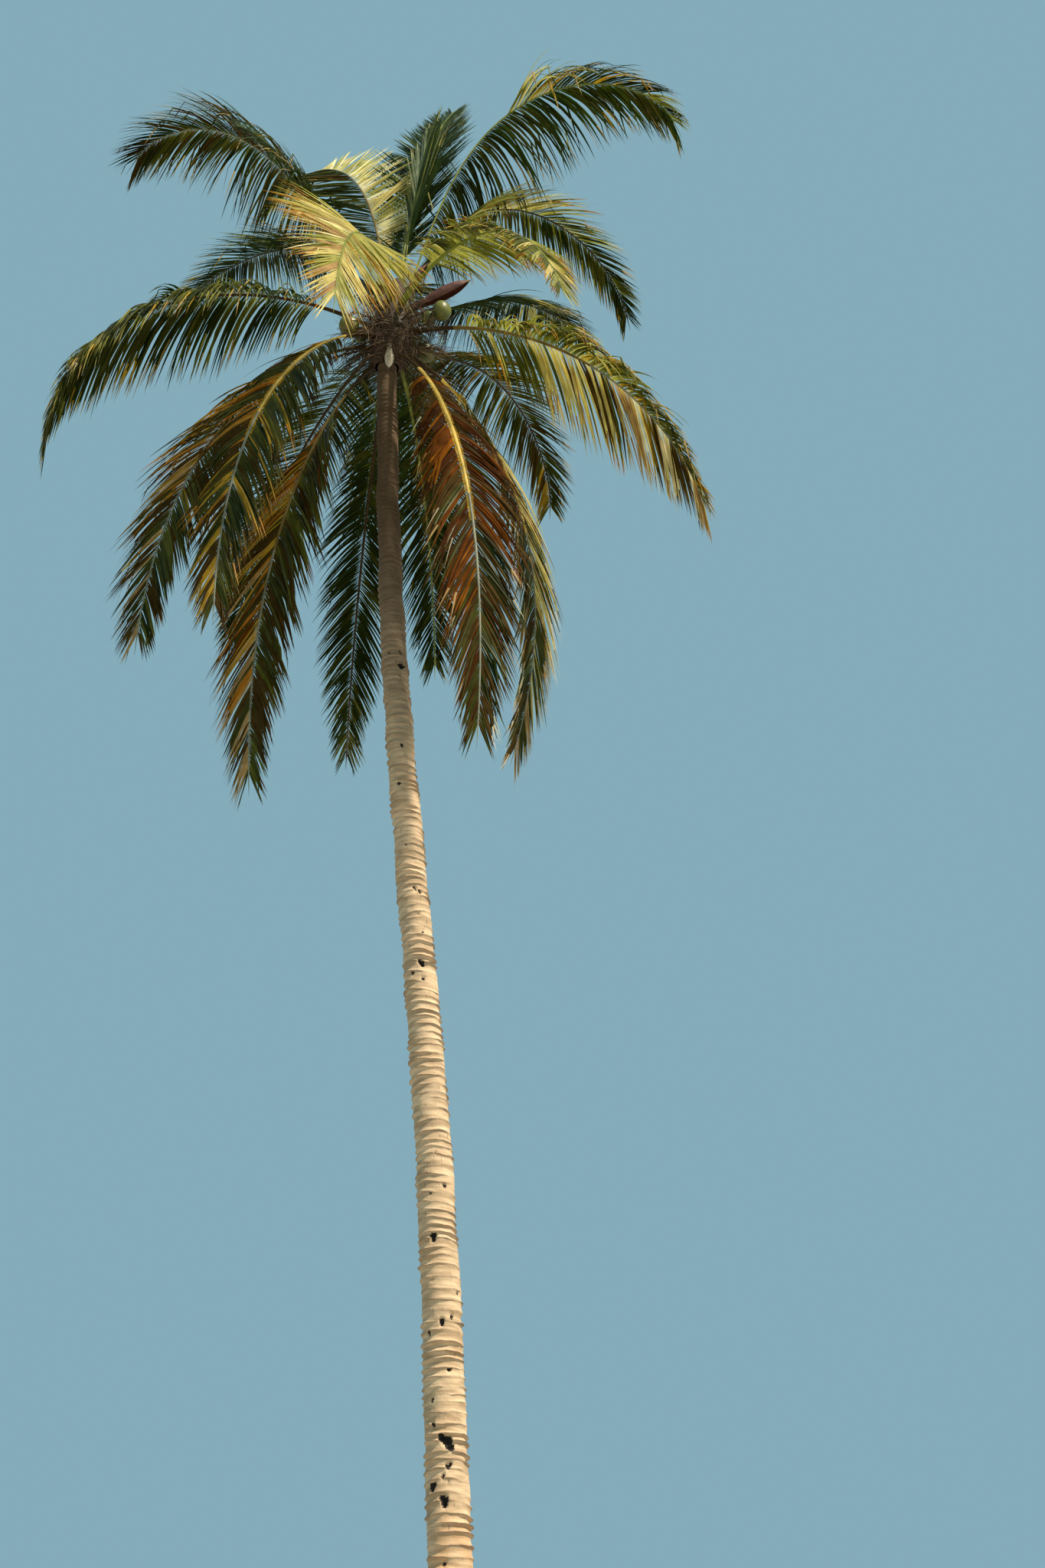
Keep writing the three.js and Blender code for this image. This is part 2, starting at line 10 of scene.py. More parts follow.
import bpy
import numpy as np
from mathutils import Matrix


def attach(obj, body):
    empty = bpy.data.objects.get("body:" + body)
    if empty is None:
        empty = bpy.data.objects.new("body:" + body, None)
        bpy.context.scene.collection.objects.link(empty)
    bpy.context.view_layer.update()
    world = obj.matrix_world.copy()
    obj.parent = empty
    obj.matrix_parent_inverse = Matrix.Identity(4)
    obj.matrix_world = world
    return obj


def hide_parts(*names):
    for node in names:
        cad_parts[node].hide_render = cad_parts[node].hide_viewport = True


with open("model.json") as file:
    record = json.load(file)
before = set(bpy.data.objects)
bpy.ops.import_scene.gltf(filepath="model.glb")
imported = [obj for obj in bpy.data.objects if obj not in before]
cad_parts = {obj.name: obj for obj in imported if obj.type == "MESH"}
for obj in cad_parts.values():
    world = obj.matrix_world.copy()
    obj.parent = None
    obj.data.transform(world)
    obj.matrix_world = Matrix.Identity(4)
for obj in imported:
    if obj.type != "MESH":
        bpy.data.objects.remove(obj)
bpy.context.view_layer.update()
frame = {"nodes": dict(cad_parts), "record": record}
rng = np.random.default_rng(58)

# Camera: the photograph's frame, with a lens and tilt that fit the palm's perspective
CAMERA_PLACE = (0.35, -18.2, 1.6)
CAMERA_TILT = 30
LENS = 50
SENSOR = 36
CLIP_END = 500
PHOTO_WIDTH, PHOTO_HEIGHT = 1365, 2048

# Trunk
TRUNK_HEIGHT = 17.3
FOOT_RADIUS = 0.217
NECK_RADIUS = 0.100
FLARE = 0.115
FLARE_HEIGHT = 0.42
# How far the trunk's middle stands towards +X, by height, and how far the heart's goes
# back for each metre of its own height
LEAN = [(0, 0), (4.9, -0.23), (8.4, -0.435), (13.2, -0.9), (15.1, -1.03), (17.3, -1.12)]
HEART_LEAN = 0.06

# Heart, as height above the trunk's top and radius
HEART = [(0, 0.104), (0.08, 0.15), (0.3, 0.186), (0.65, 0.182), (0.85, 0.16), (1.05, 0.118),
         (1.25, 0.07), (1.33, 0)]

# Ribs
RIB_STEPS = 96
# How far from the heart's middle a rib starts, and the largest share of the heart's
# radius that this may be
RIB_START, RIB_START_SHARE = 0.12, 0.7
# How far its mesh runs on into the heart, and its stalk without leaflets
RIB_SUNK = 0.13
BARE_STALK = 0.75
STALK_WIDTH, STALK_DEPTH = 0.062, 0.042
TIP_WIDTH, TIP_DEPTH = 0.015, 0.012
# How much wider a stalk is at its foot, the share of that by which it is deeper, and the
# distance over which both fade
BASE_WIDTH, BASE_DEPTH_SHARE, BASE_REACH = 0.05, 0.4, 0.3
# A stalk that stands higher than this starts with this share of the thickness
YOUNG_HEIGHT, YOUNG_SHARE = 0.9, 0.6
# A stalk that stands lower than this is brown and dry for a length from its foot
DRY_FOOT_BELOW, DRY_FOOT_LENGTH = 0.78, 0.55
# The share of a rib over which its roll comes in
ROLL_REACH = 0.45

# Leaflets: their angle to the rib, and the share by which the last ones droop less
LEAF_ANGLE_BASE, LEAF_ANGLE_TIP = 68, 26
TIP_STIFFNESS = 0.75
# Their length along the blade: the first one's share of the longest, where they are
# longest, where they get shorter again, by how much and how late
FIRST_LEAF_SHARE = 0.5
LEAF_FULL_AT, LEAF_FALLS_AT = 0.3, 0.4
LEAF_TIP_LOSS, LEAF_FALL_POWER = 0.6, 1.6
# The distance from leaflet to leaflet, and the width of one that is a metre long
LEAF_SPACING = 0.020
LEAF_WIDTH = 0.037
# Where a leaflet has its cross-sections, as shares of its length
STATIONS = np.array([0, 0.035, 0.1, 0.2, 0.32, 0.45, 0.58, 0.7, 0.81, 0.91, 1.0])

# Each frond, roughly from the youngest down: the direction it leaves in (0 is +X, 90 is
# +Y), the rib's slope where it starts and ends, its length, how late it bends, how far it
# swings sideways, its height on the heart, its roll, how far its leaflets droop, their
# longest length, how far they lift from the blade and how wide they spread.
Frond = namedtuple("Frond", "name azimuth rise fall length bend swing height roll droop leaf lift spread")
FRONDS = [Frond(*row) for row in [
    ("frond_spear", 30, 88, 80, 2.6, 1.0, 0, 1.1, 0, 0.0, 1.1, 0, 0.4),
    ("frond_01", 71, 86, 57, 4.8, 1.0, 0, 1.02, 0, 0.05, 0.9, 10, 0.75),
    ("frond_02", 92, 58, -16, 4.3, 1.5, 0, 0.95, 0, 0.6, 0.75, 10, 0.9),
    ("frond_03", 136, 80, -17, 4.6, 2.5, -5, 0.95, -50, 0.3, 0.9, 0, 1.0),
    ("frond_04", -7, 76, -71, 5.4, 2.8, 12, 0.92, -8, 2.2, 1.15, 0, 1.0),
    ("frond_05", 173, 61, -62, 4.9, 4.8, -9, 0.92, 8, 1.6, 1.15, 0, 1.0),
    ("frond_06", 35, 73, -74, 5.2, 2.1, 10, 0.85, 0, 0.9, 0.85, 0, 1.0),
    ("frond_07", 137, 66, -6, 4.9, 1.4, 0, 0.75, 0, 0.8, 0.9, 0, 1.0),
    ("frond_08", 98, 45, -50, 4.6, 1.2, 0, 0.82, 0, 0.9, 0.85, 0, 1.0),
    ("frond_09", -57, 21, -72, 4.1, 0.7, 4, 0.79, 0, 1.0, 0.85, 0, 1.0),
    ("frond_10", -97, -6, -82, 4.0, 1.15, 2, 0.87, -42, 0.6, 1.2, 0, 1.0),
    ("frond_11", 84, 40, -60, 4.5, 1.2, 0, 0.7, 0, 0.9, 0.85, 0, 1.0),
    ("frond_12", 48, 46, 0, 4.4, 2.1, 12, 0.7, 0, 1.2, 0.8, -10, 1.0),
    ("frond_13", 121, 7, -74, 4.6, 1.4, 0, 0.55, 0, 1.0, 0.85, 0, 1.0),
    ("frond_14", 198, 22, -90, 4.8, 1.0, 0, 0.5, 5, 2.6, 1.1, 0, 1.0),
    ("frond_15", -15, 14, -75, 4.7, 0.6, 0, 0.45, -22, 1.8, 1.1, 0, 1.0),
    ("frond_16", 84, 15, -80, 4.6, 1.2, 0, 0.5, 0, 0.9, 0.85, 0, 1.0),
    ("frond_17", 225, 5, -92, 5.1, 0.36, 0, 0.35, -40, 1.3, 1.05, 0, 0.78),
    ("frond_18", 60, 36, -95, 4.5, 2.9, 5, 0.3, 0, 1.0, 0.9, 0, 1.0),
    ("frond_19", 12, -5, -104, 5.4, 0.42, 0, 0.25, 40, 1.1, 1.0, 0, 0.75),
    ("frond_20", 203, 5, -88, 5.2, 0.39, 0, 0.25, -55, 1.1, 1.0, 0, 0.8),
    ("frond_21", 100, -10, -88, 4.8, 1.1, 0, 0.2, 0, 0.9, 0.75, 0, 1.0),
    ("frond_22", -44, -23, -93, 5.6, 0.33, 0, 0.15, 40, 1.1, 1.1, 0, 0.72),
    ("frond_23", 179, -34, -94, 5.4, 0.36, 0, 0.1, -65, 0.9, 1.05, 0, 0.78),
]]

# Base colours of leaflets and ribs
TONES = {
    # deep is partly painted shade: the near-black green of shaded leaflets, given as a colour
    "deep": (0.018, 0.027, 0.003),
    "green": (0.042, 0.066, 0.007),
    "teal": (0.021, 0.036, 0.008),
    "olive": (0.060, 0.060, 0.008),
    "moss": (0.115, 0.112, 0.014),
    "lime": (0.240, 0.225, 0.045),
    "pale": (0.400, 0.360, 0.090),
    "straw": (0.620, 0.500, 0.180),
    "cream": (0.780, 0.680, 0.360),
    "gold": (0.430, 0.250, 0.022),
    "amber": (0.430, 0.170, 0.014),
    "orange": (0.300, 0.095, 0.006),
    "rust": (0.150, 0.042, 0.004),
    "oxblood": (0.070, 0.021, 0.004),
    "brown": (0.075, 0.042, 0.009),
    "umber": (0.038, 0.021, 0.009),
    "tan": (0.430, 0.270, 0.110),
    "bleached": (0.680, 0.560, 0.370),
    "rib_silver": (0.300, 0.290, 0.210),
    "rib_yellow": (0.720, 0.520, 0.140),
    "rib_green": (0.260, 0.270, 0.050),
    "rib_tan": (0.260, 0.180, 0.055),
    "rib_brown": (0.070, 0.040, 0.016),
}
TONE_NAMES = list(TONES)
DRY_TONES = {"orange", "rust", "oxblood", "brown", "umber", "tan", "bleached"}

# How each frond is coloured: the leaflets on the rib's left and right, each near the
# heart and near the tip, as tones with their shares; the tones of dry leaflet ends; the
# share of leaflets that have one; and the rib's tone.
# On fronds such as frond_03 the left and right tones differ partly by painted light: the dark tones of the
# side seen from below are painted shade, the pale tones of the other side painted sunlight; the rest are
# the leaflets' own green, yellow and dry colours.
Look = namedtuple("Look", "left_in left_out right_in right_out ends dry rib")
LOOKS = {name: Look(*row) for name, *row in [
    ("frond_spear", "cream 3 lime 2 green 3", "cream 2 green 4", "green 4 moss 1", "green 4 lime 1",
     "straw 1", 0.2, "rib_green"),
    ("frond_01", "green 4 deep 3 moss 1", "green 5 deep 2 moss 1", "teal 4 deep 2 green 1",
     "teal 3 green 3", "green 2 lime 1", 0.12, "rib_green"),
    ("frond_02", "deep 4 green 3", "deep 3 green 3 olive 1", "deep 4 green 3",
     "deep 3 green 3 olive 1", "lime 1 gold 1", 0.1, "rib_green"),
    ("frond_03", "deep 2 olive 3 moss 2", "deep 2 olive 3 brown 1", "straw 4 cream 3 pale 2",
     "straw 4 cream 2 pale 2", "straw 1 tan 1", 0.2, "rib_tan"),
    ("frond_04", "olive 3 green 3 deep 2", "deep 3 olive 3 green 2", "pale 3 straw 2 moss 2 olive 1",
     "deep 3 olive 3 lime 1 gold 1", "gold 2 tan 2 lime 1", 0.35, "rib_green"),
    ("frond_05", "deep 4 olive 2 green 2 teal 1", "deep 3 olive 2 brown 2 umber 2", "deep 4 olive 3",
     "olive 3 brown 2 deep 2", "tan 2 gold 1 umber 1", 0.3, "rib_tan"),
    ("frond_06", "moss 3 lime 2 olive 2", "olive 4 deep 2", "pale 4 straw 2 lime 2",
     "olive 3 deep 3 moss 1", "gold 3 amber 2 lime 2", 0.5, "rib_brown"),
    ("frond_07", "teal 4 deep 4", "teal 3 deep 3", "teal 3 deep 4 olive 1", "deep 3 olive 2",
     "lime 2 gold 2", 0.4, "rib_brown"),
    ("frond_08", "green 3 deep 4", "green 3 deep 3 olive 1", "green 3 deep 4",
     "green 3 deep 3 olive 1", "lime 1 gold 1", 0.2, "rib_green"),
    ("frond_09", "moss 3 lime 2 pale 3", "pale 3 straw 2 moss 2", "olive 2 moss 3 pale 2 straw 1",
     "pale 2 moss 2 straw 1", "gold 3 amber 3 orange 1", 0.6, "rib_green"),
    ("frond_10", "pale 5 straw 3 lime 1", "pale 3 straw 3 gold 1", "straw 4 cream 2 pale 3 tan 1",
     "straw 3 tan 2 pale 2", "amber 3 tan 3 gold 2 brown 2", 0.8, "rib_green"),
    ("frond_11", "green 3 deep 4", "green 2 deep 3 olive 1", "green 3 deep 4",
     "green 2 deep 3 olive 1", "lime 1 gold 1", 0.2, "rib_green"),
    ("frond_12", "deep 4 teal 2 olive 1", "moss 2 straw 1 deep 2", "deep 4 teal 2",
     "moss 2 straw 1 deep 3", "straw 2 gold 1", 0.3, "rib_brown"),
    ("frond_13", "olive 3 moss 3 deep 2", "olive 3 deep 3", "olive 3 moss 2 deep 2", "olive 3 deep 3",
     "gold 2 lime 1", 0.35, "rib_brown"),
    ("frond_14", "deep 3 olive 3 moss 2 teal 1", "deep 3 olive 3 moss 2",
     "deep 3 olive 3 green 2 moss 2 lime 1", "deep 3 olive 3 moss 2", "lime 3 gold 3 tan 1", 0.45,
     "rib_brown"),
    ("frond_15", "olive 2 moss 3 straw 2 tan 1", "tan 3 brown 3 bleached 2 gold 1",
     "pale 2 lime 2 moss 3", "gold 2 moss 3 olive 3", "amber 2 tan 2 gold 2 brown 1", 0.6, "rib_tan"),
    ("frond_16", "green 2 deep 4 olive 2", "deep 4 olive 2", "green 2 deep 4 olive 2",
     "deep 4 olive 2", "lime 1 gold 1", 0.25, "rib_green"),
    ("frond_17", "olive 4 moss 3 brown 1 deep 1", "deep 2 olive 4 brown 2 gold 1",
     "gold 2 amber 2 orange 1 brown 2 olive 2", "olive 3 brown 3 gold 2", "brown 3 umber 2 amber 1",
     0.65, "rib_yellow"),
    ("frond_18", "olive 4 moss 2 brown 2", "olive 3 brown 2 gold 1", "olive 4 moss 2 brown 1",
     "olive 3 brown 2", "gold 2 amber 1 tan 1", 0.45, "rib_brown"),
    ("frond_19", "olive 3 straw 2 tan 2 moss 1", "olive 3 tan 2 straw 1", "brown 2 olive 3 gold 2",
     "olive 3 brown 2 moss 1", "tan 3 bleached 2 brown 1", 0.65, "rib_yellow"),
    ("frond_20", "olive 4 brown 2 moss 2 gold 1", "olive 3 deep 1 brown 2 moss 1",
     "amber 2 brown 2 olive 3 gold 3", "brown 3 olive 3 tan 2", "umber 2 brown 3 amber 1", 0.6,
     "rib_tan"),
    ("frond_21", "deep 5 teal 2 olive 1", "deep 4 olive 2", "deep 5 teal 2 olive 1", "deep 4 olive 2",
     "olive 1 umber 1", 0.25, "rib_brown"),
    ("frond_22", "rust 2 oxblood 3 brown 3 umber 1", "olive 4 brown 3 deep 3",
     "rust 3 oxblood 3 orange 2 brown 2", "brown 4 olive 3 oxblood 2 orange 1",
     "bleached 1 tan 1 brown 3 umber 2", 0.5, "rib_yellow"),
    ("frond_23", "olive 3 moss 3 brown 2", "olive 4 brown 2 moss 1",
     "amber 3 rust 1 brown 2 olive 1 gold 2", "brown 3 olive 2 amber 1 tan 2",
     "rust 2 brown 3 umber 2", 0.6, "rib_tan"),
]}

# The least length that a vector is divided by, and a direction that tubes rarely run in
SHORTEST = 1e-9
OFF_AXIS = [0.31, 0.22, 0.93]


def mix(a, b, t):
    return a + (b - a) * t


def smooth(table, x):
    """A smooth curve through the points of a table, by their first values."""
    xs, ys = np.array(table, float).T
    x = np.asarray(x, float)
    i = np.clip(np.searchsorted(xs, x, side="left") - 1, 0, len(xs) - 2)
    before, after = np.maximum(i - 1, 0), np.minimum(i + 2, len(xs) - 1)
    width = xs[i + 1] - xs[i]
    m0 = (ys[i + 1] - ys[before]) / (xs[i + 1] - xs[before]) * width
    m1 = (ys[after] - ys[i]) / (xs[after] - xs[i]) * width
    t = (x - xs[i]) / width
    t2, t3 = t * t, t * t * t
    return (ys[i] * (2 * t3 - 3 * t2 + 1) + m0 * (t3 - 2 * t2 + t)
            + ys[i + 1] * (3 * t2 - 2 * t3) + m1 * (t3 - t2))


def centre_x(z):
    """How far the trunk's or heart's middle stands to the side at a height."""
    z = np.asarray(z, float)
    return smooth(LEAN, np.minimum(z, TRUNK_HEIGHT)) + HEART_LEAN * np.maximum(z - TRUNK_HEIGHT, 0)


def centre(z):
    return np.array([float(centre_x(z)), 0.0, z])


def trunk_radius(z):
    return mix(FOOT_RADIUS, NECK_RADIUS, z / TRUNK_HEIGHT) + FLARE * np.exp(-z / FLARE_HEIGHT)


def heart_radius(z):
    return smooth(HEART, np.clip(z - TRUNK_HEIGHT, 0, HEART[-1][0]))


def unit(v):
    return v / np.maximum(np.linalg.norm(v, axis=-1, keepdims=True), SHORTEST)


def direction(azimuth, rise):
    a, e = math.radians(azimuth), math.radians(rise)
    return np.array([math.cos(e) * math.cos(a), math.cos(e) * math.sin(a), math.sin(e)])


def turns(count):
    """Evenly spaced angles of one whole turn."""
    return np.arange(count) * 2 * math.pi / count


def round_stem(radius, bearing, z):
    """Points round the middle of the trunk or the heart."""
    return np.stack([centre_x(z) + radius * np.cos(bearing), radius * np.sin(bearing),
                     z + 0 * bearing], -1)


def wandering(point, way, length, steps, sag, wander):
    """A line that sags and wanders from a point."""
    line = [point]
    for _ in range(steps):
        way = unit(way + np.array([0, 0, -sag]) + rng.normal(0, wander, 3))
        line.append(line[-1] + way * length / steps)
    return line


# Meshes

class Pile:
    """Vertices and faces that end up joined in one piece."""

    def __init__(self):
        self.vertices, self.quads, self.triangles = [], [], []
        self.quad_tones, self.triangle_tones = [], []
        self.count = 0

    def add(self, vertices, quads, quad_tones, triangles, triangle_tones):
        vertices = np.asarray(vertices, float).reshape(-1, 3)
        quads = np.asarray(quads, int).reshape(-1, 4)
        triangles = np.asarray(triangles, int).reshape(-1, 3)
        self.vertices.append(vertices)
        self.quads.append(quads + self.count)
        self.quad_tones.append(np.broadcast_to(quad_tones, len(quads)))
        self.triangles.append(triangles + self.count)
        self.triangle_tones.append(np.broadcast_to(triangle_tones, len(triangles)))
        self.count += len(vertices)

    def add_loft(self, rings, tones=0):
        self.add(*loft(rings, tones))

    def piece(self, name, materials, slot, nodes=()):
        """Makes the Blender object, which rides on the part's one body."""
        vertices = np.concatenate(self.vertices)
        quads, triangles = np.concatenate(self.quads), np.concatenate(self.triangles)
        tones = np.concatenate([*self.quad_tones, *self.triangle_tones])
        mesh = bpy.data.meshes.new(name)
        mesh.vertices.add(len(vertices))
        mesh.vertices.foreach_set("co", vertices.astype(np.float32).ravel())
        corners = np.concatenate([quads.ravel(), triangles.ravel()])
        sizes = np.concatenate([np.full(len(quads), 4), np.full(len(triangles), 3)])
        mesh.loops.add(len(corners))
        mesh.loops.foreach_set("vertex_index", corners.astype(np.int32))
        mesh.polygons.add(len(sizes))
        starts = np.concatenate([[0], np.cumsum(sizes)[:-1]])
        mesh.polygons.foreach_set("loop_start", starts.astype(np.int32))
        for material in materials:
            mesh.materials.append(material)
        mesh.polygons.foreach_set("material_index", tones.astype(np.int32))
        mesh.polygons.foreach_set("use_smooth", np.ones(len(sizes), bool))
        mesh.update(calc_edges=True)
        mesh.validate()
        made = bpy.data.objects.new(name, mesh)
        bpy.context.scene.collection.objects.link(made)
        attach(made, "root")
        if nodes:
            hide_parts(*nodes)
        return made


def ring_quads(rows, columns):
    """Quads between rings of points, whose last column joins their first."""
    i, j = np.meshgrid(np.arange(rows - 1), np.arange(columns), indexing="ij")
    ahead = (j + 1) % columns
    return np.stack([i * columns + j, i * columns + ahead, (i + 1) * columns + ahead,
                     (i + 1) * columns + j], -1).reshape(-1, 4)


def loft(rings, tones=0):
    """A closed skin over rings of equal size, capped at both ends."""
    rings = np.asarray(rings, float)
    count, size, _ = rings.shape
    points = np.vstack([rings.reshape(-1, 3), rings[0].mean(0), rings[-1].mean(0)])
    k = np.arange(size)
    ahead = (k + 1) % size
    last = (count - 1) * size
    start_cap = np.stack([ahead, k, np.full(size, count * size)], -1)
    end_cap = np.stack([last + k, last + ahead, np.full(size, count * size + 1)], -1)
    row_tones = np.repeat(np.broadcast_to(tones, count - 1), size)
    cap_tones = np.repeat([row_tones[0], row_tones[-1]], size)
    return points, ring_quads(count, size), row_tones, np.vstack([start_cap, end_cap]), cap_tones


def tube(points, radii, sides):
    """Rings for a round tube along points."""
    points = np.asarray(points, float)
    way = unit(np.gradient(points, axis=0))
    aside = unit(np.cross(way, OFF_AXIS))
    over = np.cross(way, aside)
    turn = turns(sides)
    radii = np.broadcast_to(radii, len(points))[:, None, None]
    return points[:, None] + radii * (np.cos(turn)[None, :, None] * aside[:, None]
                                      + np.sin(turn)[None, :, None] * over[:, None])


# Trunk

RING_SPACING_FOOT, RING_SPACING_TOP = 0.100, 0.055
# How far one spacing may be from the mean, and how much is left free below the trunk's
# top, as shares of a spacing
RING_SPACING_RANGE = (0.65, 1.35)
RING_FREE_TOP = 1.5
RING_RELIEF_FOOT, RING_RELIEF_TOP = 0.0135, 0.0085
RING_STRENGTHS = (0.5, 1.3)
# The bark's outline between two ring scars: share of the way, share of the relief
RING_FORM = [(0.0, 1.0), (0.06, 0.75), (0.16, 0.05), (0.36, -0.4), (0.6, -0.5), (0.82, -0.2),
             (0.94, 0.35)]
# How far a scar's colour reaches, as a share of the spacing, and how much sooner it ends
# below the scar than above it
SCAR_REACH, SCAR_BELOW = 0.13, 1.5
# The scar's colour where the relief is weakest, as a share of its full strength
SCAR_FAINTEST = 0.3
# Relief of the rings in their mean, and the least and the most anywhere, as shares
RELIEF_MEAN, RELIEF_RANGE = 0.85, (0.1, 1.9)
# The rings' tilt fades out within this distance of the trunk's ends
LEVEL_END = 0.15
FOOT_LUMPS_HEIGHT = 0.5
# The waves of a random field: how many go round the trunk, their length and their share
WAVES = [(1, 1.9, 0.5), (2, 1.1, 0.3), (3, 0.7, 0.16), (6, 0.35, 0.1), (11, 0.2, 0.06)]
# How much longer the waves are that wind the other way
COUNTER_WAVE = 1.4
# Random fields: their seed and strength, and how much finer they are round and along
Field = namedtuple("Field", "seed strength round along")
RING_TILT = Field(7, 0.014, 1, 1)
RELIEF_PATCHES = Field(11, 0.75, 1, 3)
SWELLING = Field(13, 0.006, 1, 1.7)
FOOT_LUMPS = Field(17, 0.012, 2, 0.6)
HEART_LUMPS = Field(23, 0.006, 1, 4)
LOWER_PART_TOP = 7.0
LOWER_COLUMNS, UPPER_COLUMNS = 128, 88
# Holes pecked in the bark: the pixels across and down where the photograph shows each,
# and its radius in metres
HOLES_SEEN = [
    (566, 1861, 0.019), (582, 1880, 0.045), (588, 1890, 0.032), (586, 1914, 0.026), (578, 1928, 0.019),
    (586, 1937, 0.013), (565, 1941, 0.032), (580, 1960, 0.038), (580, 2043, 0.019), (611, 1909, 0.019),
    (566, 1615, 0.032), (564, 1671, 0.013), (590, 1720, 0.019), (577, 1726, 0.026), (560, 1741, 0.019),
    (587, 1789, 0.019), (581, 1549, 0.019), (562, 1558, 0.013), (569, 1505, 0.013), (598, 1689, 0.019),
    (564, 1828, 0.019), (525, 972, 0.019), (521, 1023, 0.019), (530, 1103, 0.013), (542, 1160, 0.019),
    (549, 1165, 0.019), (547, 1193, 0.013), (552, 1217, 0.013), (551, 1257, 0.032), (538, 1270, 0.019),
    (553, 1278, 0.019), (507, 851, 0.019), (524, 851, 0.019), (525, 870, 0.032), (504, 878, 0.013),
]
# Holes on the side that the photograph doesn't show: their number, and the ranges of
# their bearing, height and radius
UNSEEN_HOLES = 26
UNSEEN_BEARINGS = (0.1, math.pi - 0.1)
UNSEEN_HEIGHTS = (2.5, 14)
UNSEEN_RADII = (0.012, 0.032)
# A hole's ragged edge: lobes round it with their strength, and how its height turns the
# first of them
HOLE_LOBES = ((2, 0.22), (3, 0.15))
HOLE_TURN = 9
# A hole's outline as a share of its radius, how steep its wall is, and its depth as a
# share of its radius. Where a hole is deeper than the depth below, it gets painted shade.
HOLE_RIM, HOLE_WALL, HOLE_DEPTH_SHARE = 1.25, 1.6, 1.1
HOLE_SHADE_FROM = 0.004
# How far from the camera a line of sight is searched for the bark, and in how many steps
SIGHT_NEAR, SIGHT_FAR, SIGHT_STEPS = 14, 32, 9001


def wave(theta, z, field):
    """A smooth random field round the trunk and along it."""
    source = np.random.default_rng(field.seed)
    theta, z = theta * field.round, z * field.along
    total = 0
    for count, reach, share in WAVES:
        phase = source.uniform(0, 2 * math.pi, 2)
        total = total + share * np.sin(count * theta + phase[0] + 2 * math.pi * z / reach)
        total = total + share * np.sin(-count * theta + phase[1]
                                       + 2 * math.pi * z / (COUNTER_WAVE * reach))
    return field.strength * total


def ring_heights():
    heights = [0.0]
    while heights[-1] < TRUNK_HEIGHT - RING_SPACING_TOP * RING_FREE_TOP:
        spacing = mix(RING_SPACING_FOOT, RING_SPACING_TOP, heights[-1] / TRUNK_HEIGHT)
        heights.append(heights[-1] + spacing * rng.uniform(*RING_SPACING_RANGE))
    heights[-1] = TRUNK_HEIGHT
    return np.array(heights)


def on_trunk(px, py):
    """The angle and height where the view through a pixel of the photograph meets the bark."""
    focal = LENS / SENSOR * PHOTO_HEIGHT
    across, down = (px - PHOTO_WIDTH / 2) / focal, (py - PHOTO_HEIGHT / 2) / focal
    tilt = math.radians(CAMERA_TILT)
    way = np.array([across, math.cos(tilt) + down * math.sin(tilt),
                    math.sin(tilt) - down * math.cos(tilt)])
    sight = np.linspace(SIGHT_NEAR, SIGHT_FAR, SIGHT_STEPS)
    x, y, z = (np.array(CAMERA_PLACE) + sight[:, None] * way).T
    off = np.hypot(x - centre_x(z), y)
    inside = np.flatnonzero((off <= trunk_radius(np.maximum(z, 0))) & (z > 0))
    k = inside[0] if len(inside) else int(np.argmin(off))
    return math.atan2(y[k], x[k] - centre_x(z[k])), z[k]


def holes():
    """Angle, height and radius of every hole."""
    found = [(*on_trunk(px, py), radius) for px, py, radius in HOLES_SEEN]
    for _ in range(UNSEEN_HOLES):
        found.append((rng.uniform(*UNSEEN_BEARINGS), rng.uniform(*UNSEEN_HEIGHTS),
                      rng.uniform(*UNSEEN_RADII)))
    return found


def bark_rows(rings):
    """Height, relief and nearness to a scar of each row of the bark's mesh."""
    rows = []
    for low, high in zip(rings[:-1], rings[1:]):
        strength = rng.uniform(*RING_STRENGTHS)
        for share, relief in RING_FORM:
            scar = max(0, 1 - min(share, (1 - share) * SCAR_BELOW) / SCAR_REACH)
            rows.append((mix(low, high, share), relief * strength, scar))
    rows.append((rings[-1], 1.0, 1.0))
    return np.array(rows).T[..., None]


def hole_depth(theta, height, pecked):
    """How deep the holes are at points of the bark."""
    (first, first_size), (second, second_size) = HOLE_LOBES
    sunk = np.zeros_like(height)
    for angle, hole_z, hole_radius in pecked:
        beside = (theta - angle + math.pi) % (2 * math.pi) - math.pi
        across, above = beside * trunk_radius(hole_z), height - hole_z
        bearing = np.arctan2(above, across)
        edge = hole_radius * (1 + first_size * np.sin(first * bearing + hole_z * HOLE_TURN)
                              + second_size * np.sin(second * bearing))
        depth = np.clip(HOLE_RIM - np.hypot(across, above) / edge, 0, 1)
        sunk = np.maximum(sunk, np.minimum(depth * HOLE_WALL, 1) * hole_radius * HOLE_DEPTH_SHARE)
    return sunk


def trunk_part(rings, columns, pecked):
    """Vertices, nearness to a scar, and points in a hole, for a stretch of trunk."""
    theta = turns(columns)
    z, relief, scar = bark_rows(rings)
    ends = np.clip(np.minimum(z, TRUNK_HEIGHT - z) / LEVEL_END, 0, 1)
    height = z + wave(theta, z, RING_TILT) * ends
    size = mix(RING_RELIEF_FOOT, RING_RELIEF_TOP, z / TRUNK_HEIGHT)
    patchy = np.clip(RELIEF_MEAN + wave(theta, z, RELIEF_PATCHES), *RELIEF_RANGE)
    radius = trunk_radius(z) + size * relief * patchy + wave(theta, z, SWELLING)
    radius += wave(theta, z, FOOT_LUMPS) * np.exp(-z / FOOT_LUMPS_HEIGHT)
    sunk = hole_depth(theta, height, pecked)
    points = round_stem(radius - sunk, theta, height)
    return points, scar * np.clip(patchy, SCAR_FAINTEST, 1), sunk > HOLE_SHADE_FROM


